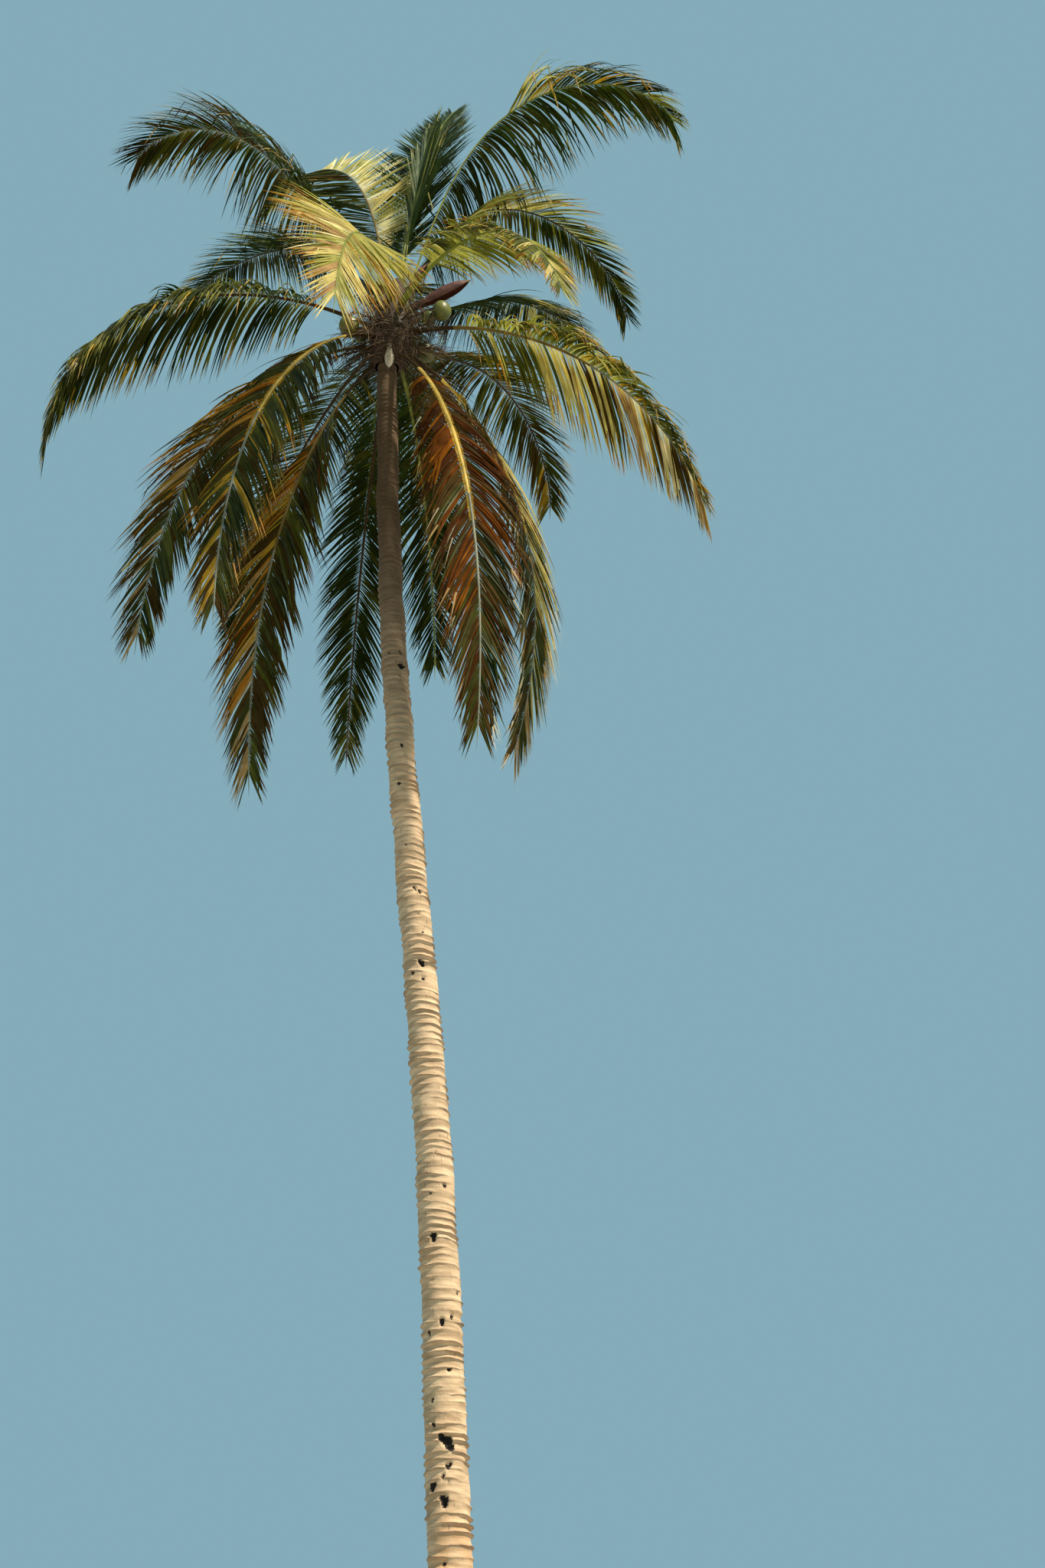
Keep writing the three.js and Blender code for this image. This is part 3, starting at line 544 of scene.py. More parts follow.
def build_trunk(bark, hole_painted_shade):
    pecked = holes()
    rings = ring_heights()
    cut = int(np.searchsorted(rings, LOWER_PART_TOP))
    parts = [("trunk_lower", rings[:cut + 1], LOWER_COLUMNS), ("trunk_upper", rings[cut:], UPPER_COLUMNS)]
    for name, heights, columns in parts:
        points, scar, in_hole = trunk_part(heights, columns, pecked)
        made, quads, _, caps, _ = loft(points)
        # The two vertices in the middle of the caps have no hole and no scar. A face with three
        # or more corners in a hole gets the painted shade inside holes.
        dark = np.append(in_hole.ravel(), [False, False])[quads].sum(1) >= 3
        pile = Pile()
        pile.add(made, quads, dark.astype(int), caps, 0)
        trunk = pile.piece(name, [bark, hole_painted_shade], "bark", ["trunk"])
        scars = trunk.data.attributes.new("scar", "FLOAT", "POINT")
        scars.data.foreach_set("value", np.append(scar.ravel(), [0, 0]).astype(np.float32))


# Heart, leaf bases and fibre

HEART_ROWS, HEART_COLUMNS = 60, 48
# How far the core stays inside the heart's solid at its foot, round it and at its tip
CORE_FOOT_INSET, CORE_INSET, CORE_TIP_INSET = 0.0005, 0.006, 0.004
CORE_LEAST_RADIUS = 0.002

# How far a leaf base reaches below and above its stalk, and the lowest it may start
SHEATH_BELOW = 0.30
SHEATH_ABOVE = 0.03
SHEATH_LOWEST = 0.01
SHEATH_ROWS, SHEATH_COLUMNS = 12, 11
# How far it wraps round either side in degrees, at its foot and its top, and how the one
# turns into the other
SHEATH_WRAP_FOOT, SHEATH_WRAP_TOP, SHEATH_NARROWING = 52, 17, 1.2
SHEATH_THICK = 0.026
# Its thickness at its edges and at its foot, as shares of the most
SHEATH_EDGE_SHARE, SHEATH_FOOT_SHARE = 0.35, 0.45
SHEATH_SUNK = 0.02
SHEATH_RIPPLE, SHEATH_RIPPLES = 0.003, 17
# How far the lowest base stands off the heart, and the height where none does
OLD_BASE_OUT, OLD_BASE_BELOW = 0.014, 1.2
# Bases above the first height are green, those above the second olive, the rest brown
GREEN_BASE_FROM, OLIVE_BASE_FROM = 0.9, 0.6

# Strands of fibre: their number and the ranges of height on the heart, length and radius
FIBRE_STRANDS = 1100
STRAND_HEIGHTS, STRAND_LENGTHS, STRAND_RADII = (0.02, 1.0), (0.07, 0.36), (0.0015, 0.0035)
# How a strand leaves the heart: its distance from it, its turn to either side, the range
# of its slope and how much it points outwards
STRAND_OFF_HEART = 0.02
STRAND_TURN, STRAND_SLOPES, STRAND_OUT = 70, (-50, 40), 0.5
STRAND_SAG, STRAND_WANDER = 0.28, 0.14
STRAND_TAPER = np.array([1, 0.9, 0.8, 0.6, 0.25])
STRAND_SIDES = 3


def build_heart(fibre):
    theta = turns(HEART_COLUMNS)
    z = TRUNK_HEIGHT + np.linspace(CORE_FOOT_INSET, HEART[-1][0] - CORE_TIP_INSET, HEART_ROWS)[:, None]
    radius = heart_radius(z) - CORE_INSET + wave(theta, z, HEART_LUMPS)
    pile = Pile()
    pile.add_loft(round_stem(np.maximum(radius, CORE_LEAST_RADIUS), theta, z))
    pile.piece("heart_core", [fibre], "heart_fibre", ["heart"])


def build_leaf_bases(materials):
    """A clasping base for each frond, wrapped round the heart below its stalk."""
    pile = Pile()
    v = np.linspace(0, 1, SHEATH_ROWS)[:, None]
    u = np.linspace(-1, 1, SHEATH_COLUMNS)[None, :]
    wrap = np.radians(mix(SHEATH_WRAP_FOOT, SHEATH_WRAP_TOP, v ** SHEATH_NARROWING))
    thick = SHEATH_THICK * mix(SHEATH_EDGE_SHARE, 1, 1 - u * u) * mix(SHEATH_FOOT_SHARE, 1, v)
    for frond in FRONDS:
        low = max(frond.height - SHEATH_BELOW, SHEATH_LOWEST)
        z = TRUNK_HEIGHT + mix(low, frond.height + SHEATH_ABOVE, v)
        angle = math.radians(frond.azimuth) + u * wrap
        old = 1 - frond.height / OLD_BASE_BELOW
        ripple = SHEATH_RIPPLE * np.sin(u * SHEATH_RIPPLES + frond.azimuth)
        outer = heart_radius(z) + thick + ripple + OLD_BASE_OUT * old
        inner = heart_radius(z) - SHEATH_SUNK
        rings = [round_stem(outer, angle, z), round_stem(inner, angle[:, ::-1], z)]
        tone = int(frond.height <= GREEN_BASE_FROM) + int(frond.height <= OLIVE_BASE_FROM)
        pile.add_loft(np.concatenate(rings, axis=1), tone)
    pile.piece("leaf_bases", materials, "heart_fibre")


def build_fibre(materials):
    """Loose strands of the brown cloth between the leaf bases."""
    pile = Pile()
    for _ in range(FIBRE_STRANDS):
        z = TRUNK_HEIGHT + rng.uniform(*STRAND_HEIGHTS)
        azimuth = rng.uniform(0, 360)
        out = direction(azimuth, 0)
        point = centre(z) + out * (float(heart_radius(z)) + STRAND_OFF_HEART)
        bearing = azimuth + rng.choice([-STRAND_TURN, STRAND_TURN])
        way = unit(direction(bearing, rng.uniform(*STRAND_SLOPES)) + STRAND_OUT * out)
        line = wandering(point, way, rng.uniform(*STRAND_LENGTHS), len(STRAND_TAPER) - 1,
                         STRAND_SAG, STRAND_WANDER)
        rings = tube(line, STRAND_TAPER * rng.uniform(*STRAND_RADII), STRAND_SIDES)
        pile.add_loft(rings, rng.integers(len(materials)))
    pile.piece("heart_strands", materials, "heart_fibre")


# Ribs

RIB_SIDES = 12
RIB_ROWS = 84
# How far a rib runs on past the blade, as a share of the longest leaflet, and how much
# of its thickness it loses there
RIB_END, RIB_END_LOSS = 0.24, 0.85
# The height of a rib's upper side as a share of its lower one's, and the depth of the
# channel along it, which fades out with this reach
RIB_TOP_SHARE, CHANNEL, CHANNEL_REACH = 0.75, 0.35, 0.9
# A rib's tone in the frond's outer part, where it isn't the inner part's
OUTER_RIB = {"rib_yellow": "rib_silver", "rib_tan": "rib_silver"}
OUTER_RIB_FROM = 0.5


def rib_axes(frond, s):
    """The rib's tangent, side and up at shares s of its length."""
    slope = np.radians(frond.rise + (frond.fall - frond.rise) * s ** frond.bend)
    azimuth = np.radians(frond.azimuth + frond.swing * s * s)
    flat = np.cos(slope)
    tangent = np.stack([flat * np.cos(azimuth), flat * np.sin(azimuth), np.sin(slope)], -1)
    level = np.stack([-np.sin(azimuth), np.cos(azimuth), 0 * azimuth], -1)
    roll = np.radians(frond.roll) * np.sin(math.pi / 2 * np.minimum(1, s / ROLL_REACH))
    side = level * np.cos(roll)[:, None] + np.cross(tangent, level) * np.sin(roll)[:, None]
    return tangent, side, np.cross(tangent, side)


def rib_at(frond, distance):
    """Points and axes at distances along the rib; below 0 it runs back into the heart."""
    step = frond.length / RIB_STEPS
    start = min(RIB_START, RIB_START_SHARE * float(smooth(HEART, frond.height)))
    first = centre(TRUNK_HEIGHT + frond.height) + start * direction(frond.azimuth, 0)
    ahead = rib_axes(frond, (np.arange(RIB_STEPS) + 0.5) / RIB_STEPS)[0]
    line = np.vstack([first, first + np.cumsum(ahead, 0) * step])
    along = np.clip(distance, 0, frond.length)
    k = np.minimum((along / step).astype(int), RIB_STEPS - 1)
    t = (along / step - k)[:, None]
    tangent, side, up = rib_axes(frond, along / frond.length)
    over = (distance - along)[:, None]
    return line[k] * (1 - t) + line[k + 1] * t + tangent * over, tangent, side, up


def rib_size(frond, distance):
    along = np.clip(distance, 0, frond.length)
    s = along / frond.length
    base = np.exp(-along / BASE_REACH)
    share = mix(YOUNG_SHARE if frond.height > YOUNG_HEIGHT else 1, 1, s)
    width = (mix(STALK_WIDTH, TIP_WIDTH, np.sqrt(s)) + BASE_WIDTH * base) * share
    depth = (mix(STALK_DEPTH, TIP_DEPTH, np.sqrt(s)) + BASE_DEPTH_SHARE * BASE_WIDTH * base) * share
    return width, depth


def rib_tones(frond, distance):
    """The tone of a rib between each two of its rows."""
    name = LOOKS[frond.name].rib
    outer = OUTER_RIB.get(name, name)
    tones = np.where(distance[:-1] > OUTER_RIB_FROM * frond.length,
                     TONE_NAMES.index(outer), TONE_NAMES.index(name))
    if frond.height < DRY_FOOT_BELOW:
        tones[distance[:-1] < DRY_FOOT_LENGTH] = TONE_NAMES.index("rib_brown")
    return tones


def build_ribs(materials):
    pile = Pile()
    turn = turns(RIB_SIDES)
    across, over = np.cos(turn), np.sin(turn)
    for frond in FRONDS:
        end = RIB_END * frond.leaf
        distance = np.linspace(-RIB_SUNK, frond.length + end, RIB_ROWS)
        point, _, side, up = rib_at(frond, distance)
        width, depth = rib_size(frond, distance)
        thin = 1 - RIB_END_LOSS * np.clip((distance - frond.length) / end, 0, 1)
        width, depth = (width * thin)[:, None], (depth * thin)[:, None]
        channel = CHANNEL * np.exp(-np.maximum(distance, 0) / CHANNEL_REACH)[:, None]
        lift = np.where(over > 0, over * RIB_TOP_SHARE - channel * over * (1 - across ** 2), over)
        rings = (point[:, None] + side[:, None] * (across * width / 2)[..., None]
                 + up[:, None] * (lift * depth / 2)[..., None])
        pile.add_loft(rings, rib_tones(frond, distance))
    pile.piece("frond_ribs", materials, "leaf_gold")


# Leaflets

# The middle of each of a leaflet's segments, as a share of its length
MIDDLES = (STATIONS[1:] + STATIONS[:-1]) / 2
# A leaflet's width along it: how wide it starts, how soon it is full, how it tapers; and
# how much one leaflet's width differs from another's
LEAF_FOOT_WIDTH = 0.35
LEAF_WIDENING = 3.2
LEAF_TAPER = 1.8
LEAF_WIDTH_RANGE = (0.85, 1.12)
# How far its halves are folded down at its foot and its tip, in degrees
FOLD_FOOT, FOLD_TIP = 36, 14
# How a leaflet's angle, lift, length and droop vary: the distance over which neighbours
# share a value, how much that value varies, and how much each leaflet's own does
Vary = namedtuple("Vary", "reach shared own")
VARY_ANGLE = Vary(0.16, 3.0, 2.5)
VARY_LIFT = Vary(0.2, 5.0, 4.0)
VARY_LENGTH = Vary(0.3, 0.03, 0.05)
VARY_DROOP = Vary(0.25, 0.10, 0.14)
# How far a leaflet's foot strays along the rib, as a share of the spacing, and how far
# out it stands, as a share of the rib's half width
FOOT_STRAY, FOOT_OUT = 0.25, 0.8
# Broken leaflets: their share on a frond that doesn't droop and what the droop adds,
# where along them they break, and how steeply they hang from there
BROKEN_SHARE, BROKEN_BY_DROOP = 0.05, 0.05
BROKEN_AT = (0.35, 0.75)
BROKEN_HANG = 2.2
# Twist in degrees: how much it varies at the foot, and the mean and the variation of
# what comes to it by the tip
TWIST_FOOT, TWIST_MEAN, TWIST_TIP = 16, 14, 22
# The share of leaflets that are lost, and how far the others keep off trunk and heart
LOST_SHARE, STEM_GAP = 0.015, 0.012
# A side of a frond whose inner leaflets are lost, and the share of the blade that is bare
BARE_SIDES = {("frond_04", -1): 0.5}
# How often a leaflet takes its neighbour's tone
SAME_TONE = 0.72
# The share of leaflets in the outer tones: how fast it rises along the blade, and what
# is taken off it
OUTER_RISE, OUTER_LESS = 1.6, 0.3
# Where along a leaflet its dry end starts
DRY_FROM = (0.5, 0.92)


def leaf_share(f):
    """Leaflet length along the blade, as a share of the longest."""
    rising = mix(FIRST_LEAF_SHARE, 1, np.sin(math.pi / 2 * np.minimum(1, f / LEAF_FULL_AT)))
    past = np.maximum(f - LEAF_FALLS_AT, 0) / (1 - LEAF_FALLS_AT)
    return np.where(f < LEAF_FALLS_AT, rising, 1 - LEAF_TIP_LOSS * past ** LEAF_FALL_POWER)


def varied(mean, distance, vary):
    """Random values that neighbours share in part, so that leaflets stand in clumps."""
    knots = np.arange(0, distance.max() + 2 * vary.reach, vary.reach)
    shared = np.interp(distance, knots, rng.normal(0, vary.shared, len(knots)))
    return mean + shared + rng.normal(0, vary.own, len(distance))


def dealt(mixture, count):
    """Tones dealt out by their shares, mostly the same for neighbouring leaflets."""
    words = mixture.split()
    names = [TONE_NAMES.index(word) for word in words[::2]]
    shares = np.array(words[1::2], float)
    tones = rng.choice(names, count, p=shares / shares.sum())
    for i in range(1, count):
        if rng.random() < SAME_TONE:
            tones[i] = tones[i - 1]
    return tones


def clear_of_stem(lines):
    """Which leaflets keep off the trunk and the heart, from their third station on."""
    x, y, z = np.moveaxis(lines[:, 2:], -1, 0)
    off = np.hypot(x - centre_x(z), y)
    stem = np.where(z < TRUNK_HEIGHT, trunk_radius(np.clip(z, 0, TRUNK_HEIGHT)), heart_radius(z))
    return ~(off < stem + STEM_GAP).any(axis=1)


def leaflet_lines(frond, sign, distance, f):
    """Each leaflet's middle line, the way it runs, its length and the rib's tangent."""
    point, tangent, side, up = rib_at(frond, distance)
    width, _ = rib_size(frond, distance)
    angle = frond.spread * np.radians(mix(LEAF_ANGLE_BASE, LEAF_ANGLE_TIP, f))
    angle += np.radians(varied(0, distance, VARY_ANGLE))
    lift = np.radians(varied(frond.lift, distance, VARY_LIFT))
    length = frond.leaf * leaf_share(f) * varied(1, distance, VARY_LENGTH)
    droop = frond.droop * (1 - TIP_STIFFNESS * f * f) * varied(1, distance, VARY_DROOP)
    start = (tangent * np.cos(angle)[:, None]
             + side * (np.sin(angle) * np.cos(lift) * sign)[:, None]
             + up * (np.sin(angle) * np.sin(lift))[:, None])
    broken = rng.random(len(f)) < BROKEN_SHARE + BROKEN_BY_DROOP * frond.droop
    broken_at = rng.uniform(*BROKEN_AT, len(f))

    way = np.repeat(start[:, None], len(MIDDLES), axis=1)
    way[..., 2] -= np.maximum(droop, 0)[:, None] * MIDDLES
    way[..., 2] -= BROKEN_HANG * (broken[:, None] & (MIDDLES > broken_at[:, None]))
    way = unit(way)
    foot = point + side * (sign * width / 2 * FOOT_OUT)[:, None]
    steps = way * (np.diff(STATIONS)[:, None] * length[:, None, None])
    line = np.concatenate([foot[:, None], foot[:, None] + np.cumsum(steps, axis=1)], axis=1)
    return line, way, length, tangent


def leaflet_edges(sign, line, way, length, tangent):
    """The edges of each leaflet's two halves, folded down from its middle line."""
    count = len(line)
    way_at = np.concatenate([way[:, :1], unit(way[:, 1:] + way[:, :-1]), way[:, -1:]], axis=1)
    front = unit(tangent[:, None] - way_at * (tangent[:, None] * way_at).sum(-1, keepdims=True))
    face = np.cross(way_at, front) * -sign
    twist = np.radians(rng.normal(0, TWIST_FOOT, count)[:, None]
                       + rng.normal(TWIST_MEAN, TWIST_TIP, count)[:, None] * STATIONS)
    cos, sin = np.cos(twist)[..., None], np.sin(twist)[..., None]
    front, face = front * cos + face * sin, face * cos - front * sin
    fold = np.radians(mix(FOLD_FOOT, FOLD_TIP, STATIONS))[None, :, None]
    outline = np.minimum(1, LEAF_FOOT_WIDTH + LEAF_WIDENING * STATIONS) * (1 - STATIONS ** LEAF_TAPER)
    breadth = LEAF_WIDTH * np.sqrt(length) * rng.uniform(*LEAF_WIDTH_RANGE, count)
    half = (breadth[:, None] * outline / 2)[..., None]
    return [line + (front * half_sign * np.cos(fold) - face * np.sin(fold)) * half for half_sign in (1, -1)]


def leaflet_tones(look, sign, f):
    """The tone of each segment of each leaflet."""
    count = len(f)
    inner = dealt(look.left_in if sign > 0 else look.right_in, count)
    outer = dealt(look.left_out if sign > 0 else look.right_out, count)
    tone = np.where(rng.random(count) < np.clip(OUTER_RISE * f - OUTER_LESS, 0, 1), outer, inner)
    end = dealt(look.ends, count)
    dry = rng.random(count) < look.dry
    dry_from = np.where(dry, rng.uniform(*DRY_FROM, count), np.inf)
    tones = np.where(MIDDLES > dry_from[:, None], end[:, None], tone[:, None])
    if look.rib == "rib_yellow":
        tones[f < OUTER_RIB_FROM, 0] = TONE_NAMES.index("gold")
    return tones


def add_leaflets(pile, frond, sign):
    """The leaflets on one side of a frond: two halves folded along a ridge."""
    blade = frond.length - BARE_STALK
    count = int(blade / LEAF_SPACING)
    stray = rng.uniform(-FOOT_STRAY, FOOT_STRAY, count)
    distance = BARE_STALK + blade * (np.arange(count) + 0.5 + stray) / count
    f = (distance - BARE_STALK) / blade
    line, way, length, tangent = leaflet_lines(frond, sign, distance, f)
    edges = leaflet_edges(sign, line, way, length, tangent)
    kept = clear_of_stem(line) & (rng.random(count) > LOST_SHARE)
    kept &= f > BARE_SIDES.get((frond.name, sign), 0)
    tones = leaflet_tones(LOOKS[frond.name], sign, f)[kept]

    rows = len(STATIONS) - 1
    for half_sign, edge in zip((1, -1), edges):
        strip = np.stack([line, edge], axis=2)[kept, :rows]
        tips = line[kept, rows:]
        n = len(strip)
        vertices = np.concatenate([strip.reshape(n, rows * 2, 3), tips], axis=1)
        base = (np.arange(n) * (rows * 2 + 1))[:, None, None]
        k = np.arange(rows - 1)
        quads = np.stack([2 * k, 2 * k + 1, 2 * k + 3, 2 * k + 2], -1)[None] + base
        last = 2 * (rows - 1)
        triangles = np.array([[last, last + 1, rows * 2]])[None] + base
        if half_sign * sign < 0:
            quads, triangles = quads[..., ::-1], triangles[..., ::-1]
        pile.add(vertices, quads, tones[:, :rows - 1].ravel(), triangles, tones[:, -1])


def build_leaflets(materials):
    """One piece for the fronds of each material slot."""
    slot_of = {part["node"]: part["material_slot"] for part in frame["record"]["subparts"]}
    nodes_of = {f.name: [n for n in frame["nodes"] if n == f.name or n.startswith(f.name + "_")]
                for f in FRONDS}
    for slot in sorted({slot_of[nodes[0]] for nodes in nodes_of.values()}):
        pile, nodes = Pile(), []
        for frond in FRONDS:
            if slot_of[nodes_of[frond.name][0]] != slot:
                continue
            nodes += nodes_of[frond.name]
            for sign in (1, -1):
                add_leaflets(pile, frond, sign)
        pile.piece("leaflets_" + slot.removeprefix("leaf_"), materials, slot, nodes)


# Nuts

NUT_STRETCH = 1.18
NUT_ROWS, NUT_COLUMNS = 16, 24
# The angle at a husk's poles that its caps close, the height of its three blunt edges,
# how full its sides are, and its height above the middle as a share of that below
NUT_POLE, NUT_EDGE, NUT_FULLNESS, NUT_TOP_SHARE = 0.03, 0.045, 0.92, 0.94
# How a husk is turned for each metre along the stalk, in radians
NUT_TURN = 40
STALK_RADIUS = 0.020
STALK_ROWS, STALK_SIDES = 9, 10
# Where a bunch's stalk starts, as a share of its length, and its last radius as a share
STALK_FROM, STALK_TIP_SHARE = 0.05, 0.5
# Radius and height of the rings of a nut's cap, as shares of the nut's radius, the height
# of the cap on the nut, its sides and its lobes
CAP_FORM = [(0.30, -0.10), (0.42, -0.04), (0.36, 0.05), (0.16, 0.09)]
CAP_HEIGHT, CAP_SIDES, CAP_LOBES = 0.9, 12, 0.12
# The twig between stalk and cap: where it leaves the stalk, how far it arches up, its
# radius as a share of the stalk's, and its sides
LINK_FROM, LINK_ARCH, LINK_SHARE, LINK_SIDES = 0.86, 0.01, 0.5, 8
# Direction, height and slope of each stalk, and each nut's distance along it, place
# across it, drop and radius
BUNCHES = [
    ("nuts_left", 206, 0.44, 0, [(0.49, 0, -0.02, 0.11), (0.33, -0.074, -0.03, 0.072)]),
    ("nuts_young", 214, 0.76, 12, [(0.4, 0, -0.02, 0.046), (0.32, 0.048, -0.01, 0.042),
                                   (0.3, -0.046, 0.01, 0.04), (0.22, 0.012, 0.044, 0.038)]),
    ("nuts_right", -22, 0.64, 8, [(0.6, 0, -0.09, 0.105), (0.42, 0.06, -0.06, 0.082)]),
    ("nuts_back", 30, 0.55, -5, [(0.43, 0, -0.09, 0.105), (0.26, 0, -0.07, 0.07)]),
]


def nut_rings(place, radius, turn):
    """A husk with three blunt edges, slightly pointed below."""
    polar = np.linspace(NUT_POLE, math.pi - NUT_POLE, NUT_ROWS)[:, None]
    theta = turns(NUT_COLUMNS)[None, :]
    edges = 1 + NUT_EDGE * np.cos(3 * theta + turn) * np.sin(polar) ** 2
    flat = radius * np.sin(polar) ** NUT_FULLNESS * edges
    share = np.where(np.cos(polar) < 0, 1.0, NUT_TOP_SHARE)
    height = radius * NUT_STRETCH * np.cos(polar) * share
    return place + np.stack([flat * np.cos(theta), flat * np.sin(theta), height + 0 * theta], -1)


def cap_rings(top, radius):
    """The lobed cap on a nut."""
    turn = turns(CAP_SIDES)
    lobes = 1 + CAP_LOBES * np.cos(3 * turn)
    return [top + radius * np.stack([r * lobes * np.cos(turn), r * lobes * np.sin(turn),
                                     np.full(CAP_SIDES, z)], -1) for r, z in CAP_FORM]


def build_nuts(husk, cap):
    reach = np.linspace(STALK_FROM, 1.0, STALK_ROWS)
    for name, azimuth, height, rise, nuts in BUNCHES:
        pile = Pile()
        along, side = direction(azimuth, rise), direction(azimuth + 90, 0)
        start = centre(TRUNK_HEIGHT + height)
        line = start + along * (reach * nuts[0][0])[:, None]
        pile.add_loft(tube(line, STALK_RADIUS * mix(1, STALK_TIP_SHARE, reach), STALK_SIDES), 1)
        for distance, across, drop, radius in nuts:
            place = start + along * distance + side * across + np.array([0, 0, drop])
            pile.add_loft(nut_rings(place, radius, distance * NUT_TURN), 0)
            top = place + np.array([0, 0, radius * NUT_STRETCH * CAP_HEIGHT])
            pile.add_loft(cap_rings(top, radius), 1)
            joint = start + along * distance * LINK_FROM
            arch = (joint + top) / 2 + [0, 0, LINK_ARCH]
            pile.add_loft(tube([joint, arch, top], STALK_RADIUS * LINK_SHARE, LINK_SIDES), 1)
        pile.piece(name + "_husks", [husk, cap], "nut_husk", [name])


# Flower stalks

# Direction, height on the heart, slope and length of each dried stalk
FLOWER_STALKS = [(-118, 0.32, -8, 0.42), (-70, 0.3, -15, 0.36), (-35, 0.42, 4, 0.5),
                 (-135, 0.55, 2, 0.46), (-52, 0.56, 8, 0.46), (-10, 0.5, 6, 0.6),
                 (-165, 0.26, -14, 0.52), (18, 0.22, -16, 0.62),
                 (-150, 0.38, -4, 0.45), (2, 0.36, 0, 0.48), (48, 0.4, 2, 0.44),
                 (150, 0.4, 0, 0.42), (-20, 0.24, -12, 0.5), (-95, 0.62, 14, 0.34)]
# How far out in the heart a stalk starts, how far its tip sags, its first and last radius
FLOWER_OUT, FLOWER_SAG, FLOWER_RADII = 0.1, 0.10, (0.013, 0.004)
FLOWER_ROWS, FLOWER_SIDES = 8, 7
# Twigs on each stalk: from which share of it on, how much their way varies, how long they
# are, how they sag and wander, and their first and last radius
TWIGS = 36
TWIG_FROM, TWIG_SPREAD, TWIG_LENGTHS = 0.3, 0.6, (0.12, 0.3)
TWIG_SAG, TWIG_WANDER, TWIG_RADII = 0.16, 0.16, (0.0048, 0.0015)
TWIG_STEPS, TWIG_SIDES = 5, 4


def build_flower_stalks(materials):
    pile = Pile()
    reach = np.linspace(0, 1, FLOWER_ROWS)
    twig_radii = mix(*TWIG_RADII, np.linspace(0, 1, TWIG_STEPS + 1))
    for azimuth, height, rise, length in FLOWER_STALKS:
        start = centre(TRUNK_HEIGHT + height) + direction(azimuth, 0) * FLOWER_OUT
        way = direction(azimuth, rise)
        line = start + way * (reach * length)[:, None]
        line[:, 2] -= FLOWER_SAG * reach ** 2
        pile.add_loft(tube(line, mix(*FLOWER_RADII, reach), FLOWER_SIDES), 1)
        for _ in range(TWIGS):
            share = rng.uniform(TWIG_FROM, 1)
            point = np.array([np.interp(share, reach, line[:, axis]) for axis in range(3)])
            aim = unit(way + rng.normal(0, TWIG_SPREAD, 3))
            twig = wandering(point, aim, rng.uniform(*TWIG_LENGTHS), TWIG_STEPS, TWIG_SAG, TWIG_WANDER)
            pile.add_loft(tube(twig, twig_radii, TWIG_SIDES), rng.integers(len(materials)))
    pile.piece("flower_stalks", materials, "bract_dry")


# Bracts

# A bract's width along it, as shares of its length and of its widest radius
BRACT_FORM = [(0, 0.45), (0.3, 0.6), (0.55, 1), (0.8, 0.8), (1, 0)]
# Name, direction, height on the heart, distance from its middle, slope, length, widest
# radius and material
BRACTS = [
    ("bract_right", -12, 0.78, 0.11, 24, 0.84, 0.075, "bract_wood"),
    ("bract_upper", -32, 0.93, 0.10, 50, 0.52, 0.05, "bract_wood"),
    ("bract_dry", -84, 0.25, 0.15, -80, 0.43, 0.046, "bract_dry"),
]
BRACT_WALL = 0.10
BRACT_ROWS, BRACT_COLUMNS = 40, 22
# The shares of the length where the shell starts and ends, and its least radius as a share
BRACT_START, BRACT_END, BRACT_LEAST = 0.02, 0.995, 0.02
# Half the angle that is left open, and how many ribs there would be all round, with their
# height
BRACT_OPENING, BRACT_RIBS, BRACT_RIB_HEIGHT = 0.62, 13, 0.022
# Creases across the dry bract: the radians of their wave over its length, and their
# height
CREASES, CREASE_HEIGHT = 62, 0.10


def build_bracts(materials):
    """Boat-shaped shells, open along their underside."""
    t = np.linspace(BRACT_START, BRACT_END, BRACT_ROWS)
    arc = np.linspace(BRACT_OPENING, 2 * math.pi - BRACT_OPENING, BRACT_COLUMNS) - math.pi / 2
    ribs = 1 + BRACT_RIB_HEIGHT * np.cos(arc * BRACT_RIBS)
    for name, azimuth, height, out, rise, length, radius, slot in BRACTS:
        way = direction(azimuth, rise)
        side = direction(azimuth + 90, 0)
        over = np.cross(way, side)
        start = centre(TRUNK_HEIGHT + height) + direction(azimuth, 0) * out
        size = radius * np.maximum(smooth(BRACT_FORM, t), BRACT_LEAST)
        if name == "bract_dry":
            size = size * (1 + CREASE_HEIGHT * np.sin(t * CREASES))
        rings = []
        for share, r in zip(t, size):
            outer = np.stack([r * ribs * np.cos(arc), r * ribs * np.sin(arc)], -1)
            ring = np.vstack([outer, outer[::-1] * (1 - BRACT_WALL)])
            rings.append(start + way * (share * length) + ring[:, :1] * side + ring[:, 1:] * over)
        pile = Pile()
        pile.add_loft(rings)
        pile.piece(name + "_shell", [materials[slot]], slot, [name])


# Materials

# Roughness and specular level of a fresh and a dry leaflet, and the tint of their gloss
FRESH_FINISH, DRY_FINISH = (0.4, 0.18), (0.7, 0.06)
GLOSS_TINT = (1.0, 0.88, 0.5, 1)
# How dark and how light a tone gets in its mottling
MOTTLE_DARK, MOTTLE_LIGHT = 0.72, 1.28
# The share of light that comes through a leaflet, and what that does to its colour
THROUGH_SHARE, THROUGH_TINT = 0.3, (1.5, 1.6, 0.8)

# Bark: the dark and light of its bands, the stain on its lower part, bare grey patches,
# cracks, ring scars, and its brown below the crown, partly painted crown shadow
BARK_DARK, BARK_LIGHT = (0.44, 0.295, 0.165), (0.74, 0.52, 0.310)
BARK_STAIN, BARK_GREY = (0.56, 0.29, 0.12), (0.25, 0.20, 0.15)
BARK_CRACK, BARK_SCAR = (0.12, 0.08, 0.05), (0.16, 0.11, 0.075)
BARK_CROWN_BROWN_AND_SHADE = (0.098, 0.058, 0.030)
